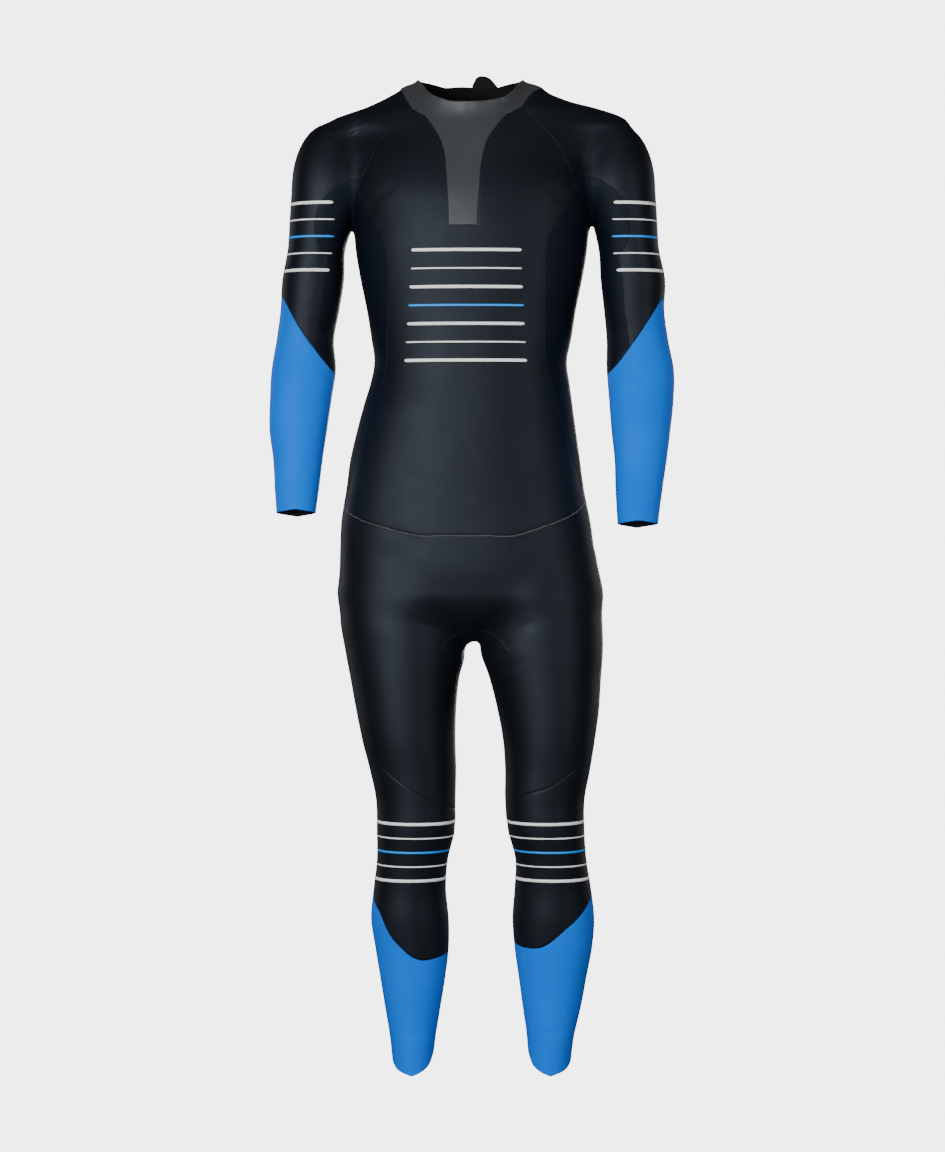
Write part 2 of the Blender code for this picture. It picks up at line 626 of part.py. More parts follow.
def collar_grid(base):
    """From the collar seam, a closed ring, up to the rim."""
    s = section_at(NECK_SECTIONS, base[:, 2])
    turn = np.degrees(np.arctan2(base[:, 0] - s["x"], -(base[:, 1] - s["y"])))
    rim = np.interp(np.abs(turn), *zip(*COLLAR_RIM))
    rows = [base]
    for t in np.linspace(0, 1, COLLAR_ROWS + 1)[1:]:
        heights = base[:, 2] + (rim - base[:, 2]) * t
        s = section_at(NECK_SECTIONS, heights)
        centre = np.stack([s["x"], s["y"], heights], axis=1)
        way = np.stack([np.sin(np.radians(turn)), -np.cos(np.radians(turn)), turn * 0], axis=1)
        rows.append(cast(centre, centre + way))
        rows[-1][-1] = rows[-1][0]
    return np.array(rows)


def neck_side(front, back):
    """The collar seam over the shoulder, from the front raglan seam to the back one."""
    ends = [math.atan2(p[0], -p[1]) for p in (front, back)]
    share = np.linspace(0, 1, NECK_COLUMNS + 1)
    turn = ends[0] + (ends[1] - ends[0]) * share
    heights = front[2] + (back[2] - front[2]) * share + 4 * COLLAR_SIDE_RISE * share * (1 - share)
    centre = np.stack([turn * 0, turn * 0, heights], axis=1)
    line = cast(centre, centre + np.stack([np.sin(turn), -np.cos(turn), turn * 0], axis=1))
    line[0], line[-1] = front, back
    return line


def lay_out_skin():
    """Every panel's cells on the skin."""
    suit = Skin()
    chest, back = chest_grid(), back_grid()
    strip = range(FRONT_SIDE_COLUMNS, FRONT_SIDE_COLUMNS + STRIP_COLUMNS)
    suit.add(chest, lambda r, c: "front_strip" if r < YOKE_ROWS and c in strip else "chest")
    zip_at = range(BACK_SIDE_COLUMNS, BACK_SIDE_COLUMNS + ZIP_COLUMNS)
    middle = BACK_SIDE_COLUMNS + ZIP_COLUMNS // 2

    def back_piece(r, c):
        if r < YOKE_ROWS + ZIP_RIB_ROWS and c in zip_at:
            return "zip_tape"
        return "back_left" if c < middle else "back_right"

    suit.add(back, back_piece, flip=True)

    sides = {}
    for name, side, corner, pivot, column in (("left", -1, LEFT_RAGLAN_FRONT[-1], LEFT_ARM_PIVOT, 0),
                                              ("right", 1, RIGHT_RAGLAN_FRONT[-1], RIGHT_ARM_PIVOT, -1)):
        grid = side_grid(side, corner, pivot, chest[YOKE_ROWS:, column], back[YOKE_ROWS:, column])
        sides[name] = grid
        suit.add(grid, lambda r, c, name=name: f"side_{name}", flip=side < 0)

    left_neck = neck_side(chest[0, 0], back[0, 0])
    right_neck = neck_side(chest[0, -1], back[0, -1])
    half = len(back[0]) // 2
    ring = np.concatenate([back[0, :half + 1][::-1], left_neck[::-1][1:], chest[0, 1:], right_neck[1:],
                           back[0, half:-1][::-1]])
    front_cells = range(half + NECK_COLUMNS // 2, len(ring) - 1 - half - NECK_COLUMNS // 2)

    def collar_piece(r, c):
        if c in front_cells:
            return "collar_front"
        return "collar_back_left" if c < front_cells[0] else "collar_back_right"

    collar = collar_grid(ring)
    suit.add(collar, collar_piece, flip=True)

    for name, side, column, neck, arm, pivot, cuff in (
            ("left", -1, 0, left_neck, LEFT_ARM_SECTIONS, LEFT_ARM_PIVOT, LEFT_CUFF),
            ("right", 1, -1, right_neck, RIGHT_ARM_SECTIONS, RIGHT_ARM_PIVOT, RIGHT_CUFF)):
        loop = np.concatenate([neck[::-1], chest[1:YOKE_ROWS + 1, column], sides[name][0][1:],
                               back[:YOKE_ROWS, column][::-1]])
        under = range(NECK_COLUMNS + YOKE_ROWS - 1, NECK_COLUMNS + YOKE_ROWS + SIDE_COLUMNS + 1)

        def sleeve_piece(r, c, name=name, under=under):
            return f"underarm_{name}" if c in under else f"shoulder_{name}"

        angles = shared_out(SLEEVE_QUARTERS, (NECK_COLUMNS, YOKE_ROWS, SIDE_COLUMNS, YOKE_ROWS))
        grid = fan_grid(loop, side, pivot, ARM_FAN, arm, SHOULDER_ROWS, angles)
        suit.add(grid, sleeve_piece, flip=side > 0)
        level = ((0, pivot[1]), (360, pivot[1]))
        upper = limb_grid(grid[-1], side, arm, angles, level, FOREARM_SEAM, UPPER_ARM_ROWS)
        suit.add(upper, sleeve_piece, flip=side > 0)
        lower = limb_grid(upper[-1], side, arm, angles, FOREARM_SEAM, cuff, FOREARM_ROWS)
        suit.add(lower, lambda r, c, name=name: f"forearm_{name}", flip=side > 0)

    waist = np.concatenate([back[-1, :half + 1][::-1], sides["left"][-1][::-1][1:], chest[-1, 1:],
                            sides["right"][-1][1:], back[-1, half:-1][::-1]])
    front_half = len(chest[0]) // 2
    half_ring = half + SIDE_COLUMNS + front_half
    hips = hip_grid(waist, shared_out(HIP_PARTS, (half, SIDE_COLUMNS, 2 * front_half, SIDE_COLUMNS, half)))
    suit.add(hips, lambda r, c: leg_face(c if c < half_ring else 2 * half_ring - 1 - c, half,
                                         "left" if c < half_ring else "right"))
    crotch = crotch_line(hips[-1, half_ring], hips[-1, 0])
    for name, side, half_loop, leg, knee_seam, calf_seam in (
            ("left", -1, hips[-1, :half_ring + 1], LEFT_LEG_SECTIONS, LEFT_KNEE_SEAM, LEFT_CALF_SEAM),
            ("right", 1, hips[-1, half_ring:][::-1], RIGHT_LEG_SECTIONS, RIGHT_KNEE_SEAM, RIGHT_CALF_SEAM)):
        loop = np.concatenate([half_loop, crotch[1:]])

        def thigh_piece(r, c, name=name):
            if c < half_ring:
                return leg_face(c, half, name)
            if r < GUSSET_ROWS:
                return "gusset"
            return "legs_front" if c < half_ring + CROTCH_COLUMNS // 2 else f"seat_{name}"

        angles = shared_out(LEG_HALVES, (half_ring, CROTCH_COLUMNS))
        grid = fan_grid(loop, side, LEG_PIVOT, LEG_FAN, leg, GROIN_ROWS, angles)
        suit.add(grid, thigh_piece, flip=side > 0)
        level = ((0, LEG_PIVOT[1]), (360, LEG_PIVOT[1]))
        thigh = limb_grid(grid[-1], side, leg, angles, level, knee_seam, THIGH_ROWS)
        suit.add(thigh, lambda r, c: thigh_piece(r + GUSSET_ROWS, c), flip=side > 0)
        knee = limb_grid(thigh[-1], side, leg, angles, knee_seam, calf_seam, KNEE_ROWS)
        suit.add(knee, lambda r, c, name=name: f"knee_{name}", flip=side > 0)
        calf = limb_grid(knee[-1], side, leg, angles, calf_seam, ANKLE_HEM, CALF_ROWS)
        suit.add(calf, lambda r, c, name=name: f"calf_{name}", flip=side > 0)
    tape = back[:YOKE_ROWS + ZIP_RIB_ROWS + 1, BACK_SIDE_COLUMNS:BACK_SIDE_COLUMNS + ZIP_COLUMNS + 1]
    return suit, collar, tape


def leg_face(column, back_columns, name):
    """Front or back piece of the hips and thighs; columns count from the middle of the back."""
    return "legs_front" if column >= back_columns else f"seat_{name}"


# ---------------------------------------------------------------- solids

def wall(points, cells, outer, inner, inset):
    """A closed wall on skin points: its outer and inner offsets along the normals, pulled in at its edges."""
    used = sorted({v for cell in cells for v in cell})
    place = {v: k for k, v in enumerate(used)}
    points = np.array([points[v] for v in used])
    cells = [[place[v] for v in cell] for cell in cells]
    out = normals(points)
    edges = {}
    for cell in cells:
        for a, b in zip(cell, cell[1:] + cell[:1]):
            edges[(a, b)] = cell
    rim = [edge for edge in edges if edge[::-1] not in edges]
    pulls = {}
    for a, b in rim:
        pull = np.cross(out[a] + out[b], points[b] - points[a])
        middle = points[edges[(a, b)]].mean(axis=0) - (points[a] + points[b]) / 2
        pull *= np.sign(pull @ middle) / np.linalg.norm(pull)
        for v in (a, b):
            pulls.setdefault(v, []).append(pull)
    moved = points.copy()
    for v, ways in pulls.items():
        total = np.sum(ways, axis=0)
        moved[v] += inset * total * len(ways) / (total @ total)
    count = len(points)
    verts = np.concatenate([moved + out * outer, moved + out * inner])
    faces = cells + [[v + count for v in cell[::-1]] for cell in cells]
    for a, b in rim:
        # neighbours split their facing walls along the same diagonal, so that these stay parallel
        if used[a] < used[b]:
            faces += [[b, a, b + count], [a, a + count, b + count]]
        else:
            faces += [[b, a, a + count], [b, a + count, b + count]]
    return verts, faces


def add_object(name, verts, faces, material):
    """An object from points in millimetres."""
    mesh = bpy.data.meshes.new(name)
    mesh.from_pydata([Vector(v) * MM for v in verts], [], faces)
    mesh.shade_smooth()
    mesh.set_sharp_from_angle(angle=math.radians(40))
    obj = bpy.data.objects.new(name, mesh)
    obj.data.materials.append(material)
    bpy.context.collection.objects.link(obj)
    return obj


def lift(points, cells, bottom, thickness):
    """A layer that lies on skin points, moved out."""
    return wall(points, cells, (bottom + thickness) / MM, bottom / MM, 0)


def grid_cells(grid):
    """Points and cells of one grid."""
    rows, columns = grid.shape[:2]
    points = list(grid.reshape(-1, 3))
    cells = [[r * columns + c, (r + 1) * columns + c, (r + 1) * columns + c + 1, r * columns + c + 1]
             for r in range(rows - 1) for c in range(columns - 1)]
    return points, cells


def chain_grid(tape):
    """The zip's chain, on the middle of the tape's own points."""
    share = ZIP_CHAIN_WIDTH / 2 / ZIP_TAPE_HALF
    middle = tape[:, 1]
    edges = [middle + (tape[:, column] - middle) * share for column in (2, 0)]
    return np.stack([edges[0], middle, edges[1]], axis=1)


def flap_grid(collar):
    """The closure flap, on the collar's own points, with a tab that stands above the rim."""
    around = len(collar[0]) - 1
    places, stand = np.array(FLAP_STAND).T
    before = np.floor(places).astype(int)
    share = (places - before)[:, None]
    low, middle, rim = collar[:, before % around] * (1 - share) + collar[:, (before + 1) % around] * share
    tip = rim + stand[:, None] * np.array([0, 0, 1])
    return np.array([tip, rim, middle, low + (middle - low) * FLAP_FOOT])


def slab(frame, lows, highs):
    """A box between two corners, given along a frame's own axes."""
    origin, axes = frame
    corners = [[(lows, highs)[(k >> axis) & 1][axis] for axis in range(3)] for k in range(8)]
    verts = [origin + sum(c * axis for c, axis in zip(corner, axes)) for corner in corners]
    faces = [[0, 2, 3, 1], [4, 5, 7, 6], [0, 1, 5, 4], [2, 6, 7, 3], [0, 4, 6, 2], [1, 3, 7, 5]]
    return verts, faces


def zip_frame(tape):
    """Origin and axes (across, down the zip, outwards) of the slider, on the chain's outer face."""
    top, below = tape[0, 1], tape[1, 1]
    down = (below - top) / np.linalg.norm(below - top)
    out = np.array([0, -down[2], down[1]])
    origin = top + (below - top) * SLIDER_PLACE + out * (SEAM_GAP + ZIP_CHAIN_HEIGHT + SEAM_GAP) / MM
    return origin, (np.array([1.0, 0, 0]), down, out)


def add_slider(tape, material):
    """The slider's body, with a bridge along its top that holds the pull."""
    frame = zip_frame(tape)
    length, width, height = SLIDER_LENGTH / MM, SLIDER_WIDTH / MM, SLIDER_HEIGHT / MM
    block = slab(frame, (-width / 2, -length / 2, 0), (width / 2, length / 2, height))
    body = add_object("zip_slider", *block, material)
    reach, half = BRIDGE_LENGTH / MM / 2, BRIDGE_WIDTH / MM / 2
    thick = BRIDGE_THICKNESS / MM
    root, beam = height - BRIDGE_ROOT / MM, height + BRIDGE_GAP / MM
    bridge = (
        ((-half, -reach, root), (half, -reach + thick, beam)),
        ((-half, reach - thick, root), (half, reach, beam)),
        ((-half, -reach, beam - BRIDGE_OVERLAP / MM), (half, reach, beam + thick)),
    )
    for k, (low, high) in enumerate(bridge):
        part = add_object(f"bridge_part_{k}", *slab(frame, low, high), material)
        part.hide_render = True
        part.display_type = "WIRE"
        join = body.modifiers.new(part.name, "BOOLEAN")
        join.operation = "UNION"
        join.object = part
    return frame


def add_pull(tape, frame, material):
    """The pull tab: a plate with a window whose top bar turns under the slider's bridge."""
    origin, (across, down, out) = frame
    axis = origin + out * (SLIDER_HEIGHT + PULL_AXIS_HEIGHT) / MM
    length = PULL_LENGTH / MM
    heights = tape[:, 1, 2]
    goal_height = axis[2] + down[2] * length
    chain = np.array([0, np.interp(-goal_height, -heights, tape[:, 1, 1]), goal_height])
    goal = chain + out * (SEAM_GAP + ZIP_CHAIN_HEIGHT + PULL_REST_CLEARANCE + PULL_THICKNESS / 2) / MM
    along_tab = goal - axis
    along_tab[0] = 0
    along_tab /= np.linalg.norm(along_tab)
    face = np.array([0, -along_tab[2], along_tab[1]])
    bar = PULL_THICKNESS / MM / 2
    half, arm = PULL_WIDTH / MM / 2, PULL_ARM / MM
    xs = (-half, -half + arm, half - arm, half)
    ys = (-bar, bar, PULL_WINDOW / MM, length)
    flat = np.array([[across * x + along_tab * y for x in xs] for y in ys])
    points, cells = grid_cells(flat)
    cells = [cell for k, cell in enumerate(cells) if k != len(xs)]
    edges = {(a, b) for cell in cells for a, b in zip(cell, cell[1:] + cell[:1])}
    count = len(points)
    verts = [p - face * bar for p in points] + [p + face * bar for p in points]
    faces = cells + [[v + count for v in cell[::-1]] for cell in cells]
    faces += [[b, a, a + count, b + count] for a, b in edges if (b, a) not in edges]
    tab = add_object("zip_pull", verts, faces, material)
    tab.location = Vector(axis) * MM


def make_materials():
    made = {}
    for name, (colour, roughness, metallic) in MATERIALS.items():
        material = bpy.data.materials.new(name)
        material.use_nodes = True
        shader = material.node_tree.nodes["Principled BSDF"]
        shader.inputs["Base Color"].default_value = (*colour, 1)
        shader.inputs["Roughness"].default_value = roughness
        shader.inputs["Metallic"].default_value = metallic
        made[name] = material
    return made


def finish_of(name):
    """The material of a panel."""
    for start, material in PANEL_MATERIALS:
        if name.startswith(start):
            return material
    return "neoprene"


def main():
    for old in list(bpy.data.objects):
        bpy.data.objects.remove(old)
    materials = make_materials()
    suit, collar, tape = lay_out_skin()
    for name, cells in suit.cells.items():
        verts, faces = wall(suit.points, cells, 0, -PANEL_THICKNESS / MM, SEAM_GAP / MM / 2)
        add_object(name, verts, faces, materials[finish_of(name)])
    chain = lift(*grid_cells(chain_grid(tape)), SEAM_GAP, ZIP_CHAIN_HEIGHT)
    add_object("zip_chain", *chain, materials["zip_tape"])
    flap = lift(*grid_cells(flap_grid(collar)), SEAM_GAP, FLAP_THICKNESS)
    add_object("neck_flap", *flap, materials["neoprene"])
    frame = add_slider(tape, materials["zip_metal"])
    add_pull(tape, frame, materials["pull_plastic"])


main()
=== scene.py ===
"""Looks of a full-length swimming wetsuit, filled out as when worn, with nobody in it.

Every cloth panel is a thin shell on its own solid: the solid's outer face is cut finer and put back on the
suit's smooth skin, with the collar's rim, the lower belly and the crotch moved a little. Rough places are
relaxed, soft creases are pressed in, and the sheet gets its thickness, its seam edges and its lining.
Stitching, print, zip teeth and the zip's hardware are meshes of their own.

Lengths are millimetres, but metres for the stage, the lights and the camera. +Z is up, +X to the right of
somebody who faces the chest, and -Y the way the chest faces.
"""

import math

import bmesh
import bpy
import numpy as np
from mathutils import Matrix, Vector
from mathutils.kdtree import KDTree


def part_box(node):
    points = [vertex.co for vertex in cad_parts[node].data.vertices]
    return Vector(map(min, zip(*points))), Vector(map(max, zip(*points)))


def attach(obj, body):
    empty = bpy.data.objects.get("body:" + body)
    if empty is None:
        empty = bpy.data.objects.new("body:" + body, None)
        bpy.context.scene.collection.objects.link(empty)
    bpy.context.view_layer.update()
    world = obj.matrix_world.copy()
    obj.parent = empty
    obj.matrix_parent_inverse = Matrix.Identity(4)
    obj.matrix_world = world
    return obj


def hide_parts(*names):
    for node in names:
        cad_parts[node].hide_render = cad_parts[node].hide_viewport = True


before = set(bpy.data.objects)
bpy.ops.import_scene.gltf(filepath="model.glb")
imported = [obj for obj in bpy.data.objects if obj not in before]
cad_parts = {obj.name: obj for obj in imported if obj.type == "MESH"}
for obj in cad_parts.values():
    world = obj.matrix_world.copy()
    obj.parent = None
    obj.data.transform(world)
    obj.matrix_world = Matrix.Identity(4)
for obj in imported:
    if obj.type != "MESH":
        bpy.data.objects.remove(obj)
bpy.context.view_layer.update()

MM = 0.001

# Sheet: its thickness, and how far its edge is drawn in and down at a seam or hem
SHEET_THICKNESS = 2.7
EDGE_WIDTH = 0.65
EDGE_DROP = 0.4
# Points of the solids that are nearer than this are one, and those above this depth are on an outer face
WELD_REACH = 0.9
OUTER_FACE_DEPTH = -1.2
FINE_CUTS = 3
TINY = 1e-9

# Sections from the top down. height: level. x, y: centre. half: half the width. front, back: depth each way.
# square: exponent of the outline, 2 for an ellipse and more for a squarer one.
SECTION = ("height", "x", "y", "half", "front", "back", "square")

NECK = (
    (70, 0, -14, 70, 58, 60, 2.0),
    (43, 0, -10, 73, 60, 62, 2.0),
    (20, 0, -4, 76, 62, 64, 2.0),
    (0, 0, 0, 79, 64, 68, 2.0),
    (-40, 0, 2, 84, 66, 76, 2.0),
)

TRUNK = (
    (26, 3, 6, 105, 36, 42, 2.0),
    (18, 4, 7, 121, 40, 46, 2.0),
    (9, 8, 8, 143, 45, 51, 2.0),
    (2, 14, 8, 165, 49, 55, 2.0),
    (-5, 16, 8, 187, 54, 60, 2.0),
    (-13, 15, 8, 208, 58, 66, 2.0),
    (-24, 16, 7, 213, 65, 74, 2.0),
    (-36, 14, 6, 196, 73, 82, 2.0),
    (-73, 3, 2, 174, 92, 102, 2.2),
    (-116, 2, 0, 174, 106, 114, 2.3),
    (-160, 2, 0, 171, 112, 116, 2.3),
    (-204, 2, 0, 168, 112, 112, 2.3),
    (-247, 2, 0, 161, 108, 106, 2.3),
    (-291, 2, 0, 152, 104, 99, 2.3),
    (-335, 2, 0, 145, 101, 90, 2.3),
    (-366, 1, 0, 140, 100, 84, 2.3),
    (-400, 0, 0, 145, 101, 84, 2.3),
    (-422, -2, 0, 150, 102, 87, 2.3),
    (-466, -5, 0, 159, 103, 95, 2.3),
    (-509, -7, 0, 167, 103, 105, 2.3),
    (-553, -7, 0, 173, 102, 115, 2.3),
    (-597, -6, 0, 181, 101, 121, 2.3),
    (-640, -4, 0, 185, 100, 123, 2.3),
    (-698, -1, 0, 189, 98, 119, 2.3),
)

# Limbs of both sides: height, (x, half) of the left limb and of the right one, y, front, back, square
ARMS = (
    (-116, (-205, 54), (214, 55), 4, 58, 58, 2.1),
    (-160, (-214, 48), (224, 48), 5, 55, 56, 2.1),
    (-204, (-223, 42), (231, 44), 7, 51, 52, 2.1),
    (-247, (-228, 45), (237, 47), 10, 49, 50, 2.1),
    (-291, (-233, 43), (239, 44), 13, 46, 47, 2.1),
    (-335, (-240, 42), (244, 45), 15, 43, 43, 2.1),
    (-378, (-242, 47), (248, 49), 11, 42, 41, 2.1),
    (-422, (-246, 45), (249, 47), 2, 41, 39, 2.1),
    (-466, (-249, 42), (248, 43), -9, 37, 36, 2.1),
    (-509, (-249, 36), (247, 38), -21, 32, 32, 2.0),
    (-553, (-250, 32), (244, 34), -33, 28, 28, 2.0),
)
LEFT_CUFF = (-600, -251, -46, 27, 25, 25, 2.0)
RIGHT_CUFF = (-616, 241, -50, 28, 25, 25, 2.0)

LEGS = (
    (-660, (-98, 80), (102, 80), 4, 84, 100, 2.1),
    (-698, (-99, 87), (103, 87), 4, 90, 110, 2.1),
    (-742, (-99, 90), (104, 89), 4, 93, 110, 2.1),
    (-786, (-95, 87), (105, 89), 4, 92, 100, 2.1),
    (-829, (-95, 79), (110, 81), 2, 88, 90, 2.1),
    (-873, (-93, 73), (114, 74), 0, 83, 82, 2.1),
    (-917, (-89, 68), (115, 67), -2, 77, 74, 2.1),
    (-960, (-83, 63), (113, 62), -3, 70, 66, 2.1),
    (-1004, (-79, 58), (109, 58), -3, 65, 58, 2.1),
    (-1048, (-79, 57), (111, 56), 0, 63, 56, 2.1),
    (-1091, (-84, 52), (118, 52), 5, 57, 60, 2.1),
    (-1135, (-88, 53), (121, 56), 10, 54, 64, 2.0),
    (-1179, (-88, 57), (122, 60), 14, 54, 66, 2.0),
    (-1222, (-85, 54), (122, 57), 17, 50, 62, 2.0),
    (-1266, (-84, 48), (121, 50), 20, 46, 54, 2.0),
    (-1310, (-84, 41), (120, 43), 22, 42, 46, 2.0),
    (-1353, (-84, 34), (118, 35), 22, 38, 40, 2.0),
    (-1412, (-84, 28), (116, 30), 21, 35, 37, 2.0),
)


def one_side(rows, side):
    """Sections of the left limb (side 1) or of the right one (side 2)."""
    return tuple((row[0], row[side][0], row[3], row[side][1], *row[4:]) for row in rows)


LEFT_ARM = (*one_side(ARMS, 1), LEFT_CUFF)
RIGHT_ARM = (*one_side(ARMS, 2), RIGHT_CUFF)
LEFT_LEG, RIGHT_LEG = one_side(LEGS, 1), one_side(LEGS, 2)

# Round ends where a tube stops inside its neighbour: level where the rounding starts, and its height
SHOULDER_CAP = (-116, 94)
THIGH_CAP = (-660, 60)
NECK_BASE_CAP = (26, 18)
TRUNK_CAP = (-698, 62)
NECK_CAP = (-40, 60)

# How softly two tubes run into each other: (height, blend)
NECK_BLEND = ((60, 12), (-60, 22))
ARM_BLEND = ((-10, 16), (-40, 26), (-120, 22), (-170, 8), (-230, 0.5))
LEG_BLEND = ((-640, 8), (-730, 22), (-800, 14))
CROTCH_BLEND = ((-700, 16), (-800, 14), (-840, 1))

# Search along a ray for the skin: coarse steps, then halvings
CAST_STEPS = 64
CAST_STRIDE = 5.0
CAST_HALVINGS = 16

# Steps over which the skin's slope is measured, to put points on it and for its normals
SLOPE_STEP, NORMAL_STEP = 0.4, 0.5
SETTLE_ROUNDS = 2


# --- the skin

def unit(vectors):
    return vectors / np.linalg.norm(vectors, axis=1, keepdims=True)


def smooth_rows(table, at):
    """Reads a table's columns at the given heights or angles, along smooth curves through its rows."""
    rows = np.array(table, float)
    if rows[0, 0] > rows[-1, 0]:
        rows = rows[::-1]
    keys, values = rows[:, 0], rows[:, 1:]
    slopes = np.gradient(values, keys, axis=0)
    at = np.clip(at, keys[0], keys[-1])
    i = np.clip(np.searchsorted(keys, at) - 1, 0, len(keys) - 2)
    width = (keys[i + 1] - keys[i])[:, None]
    t = (at - keys[i])[:, None] / width
    rise = values[i + 1] - values[i]
    first, last = slopes[i] * width, slopes[i + 1] * width
    return values[i] + t * first + t ** 2 * (3 * rise - 2 * first - last) + t ** 3 * (first + last - 2 * rise)


def section_at(sections, height):
    """The named sizes of a tube at each height."""
    return dict(zip(SECTION[1:], smooth_rows(sections, np.atleast_1d(height)).T))


def tube(points, sections, top_cap=None, bottom_cap=None):
    """Signed distance, near enough, from each point to a tube; negative inside."""
    x, y, z = points.T
    s = section_at(sections, z)
    depth = np.where(y < s["y"], s["front"], s["back"])
    across = np.abs(x - s["x"]) / s["half"] + TINY
    along = np.abs(y - s["y"]) / depth + TINY
    n = s["square"]
    ring = (across ** n + along ** n) ** (1 / n)
    slope = np.hypot((across / ring) ** (n - 1) / s["half"], (along / ring) ** (n - 1) / depth)
    rise, rise_slope = np.zeros_like(z), np.zeros_like(z)
    for cap, way in ((top_cap, 1), (bottom_cap, -1)):
        if cap:
            past = way * (z - cap[0]) / cap[1]
            rise_slope = np.where(past > rise, 1 / cap[1], rise_slope)
            rise = np.maximum(rise, past)
    total = np.hypot(ring, rise)
    return (total - 1) / np.hypot(slope * ring / total, rise_slope * rise / total)


def blend(a, b, softness):
    """Joins two distances with a soft hollow between them."""
    h = np.maximum(softness - np.abs(a - b), 0) / softness
    return np.minimum(a, b) - h * h * softness / 4


def skin(points):
    """Signed distance in millimetres from the whole suit's outer skin; points in millimetres."""
    z = points[:, 2]
    legs = blend(tube(points, LEFT_LEG, top_cap=THIGH_CAP),
                 tube(points, RIGHT_LEG, top_cap=THIGH_CAP), smooth_rows(CROTCH_BLEND, z)[:, 0])
    trunk = tube(points, TRUNK, top_cap=NECK_BASE_CAP, bottom_cap=TRUNK_CAP)
    body = blend(trunk, legs, smooth_rows(LEG_BLEND, z)[:, 0])
    neck = tube(points, NECK, bottom_cap=NECK_CAP)
    body = blend(body, neck, smooth_rows(NECK_BLEND, z)[:, 0])
    for arm in (LEFT_ARM, RIGHT_ARM):
        body = blend(body, tube(points, arm, top_cap=SHOULDER_CAP), smooth_rows(ARM_BLEND, z)[:, 0])
    return body


def cast(inside, towards):
    """Goes from inside the suit through a second point, to the first place where the ray leaves the skin."""
    inside, towards = np.broadcast_arrays(np.asarray(inside, float), np.asarray(towards, float))
    shape = towards.shape
    inside, ray = inside.reshape(-1, 3), unit((towards - inside).reshape(-1, 3))
    low = np.zeros(len(ray))
    found = np.zeros(len(ray), bool)
    for k in range(1, CAST_STEPS):
        out = skin(inside + ray * (k * CAST_STRIDE)) > 0
        low = np.where(out | found, low, k * CAST_STRIDE)
        found |= out
    high = low + CAST_STRIDE
    for _ in range(CAST_HALVINGS):
        middle = (low + high) / 2
        out = skin(inside + ray * middle[:, None]) > 0
        low, high = np.where(out, low, middle), np.where(out, middle, high)
    return (inside + ray * low[:, None]).reshape(shape)


def skin_slope(points, step):
    """Each point's distance from the skin, and how that grows along x, y and z."""
    here = skin(points)
    return here, np.stack([skin(points + axis) - here for axis in np.eye(3) * step], axis=1) / step


def skin_normals(points):
    return unit(skin_slope(points, NORMAL_STEP)[1])


def onto_skin(points):
    """Moves points near the skin onto it."""
    for _ in range(SETTLE_ROUNDS):
        here, slope = skin_slope(points, SLOPE_STEP)
        points = points - slope * (here / (slope ** 2).sum(axis=1))[:, None]
    return points


LIMBS = {
    "trunk": TRUNK, "left_arm": LEFT_ARM, "right_arm": RIGHT_ARM,
    "left_leg": LEFT_LEG, "right_leg": RIGHT_LEG, "neck": NECK,
}


def on_limb(limb, angles, heights):
    """Skin points round a limb: angle 0 is the front, 90 the side at +X and -90 the side at -X."""
    angles, heights = np.broadcast_arrays(np.asarray(angles, float), np.asarray(heights, float))
    s, turn = section_at(LIMBS[limb], heights), np.radians(angles)
    centre = np.stack([s["x"], s["y"], heights], axis=1)
    return cast(centre, centre + np.stack([np.sin(turn), -np.cos(turn), turn * 0], axis=1))


# --- creases

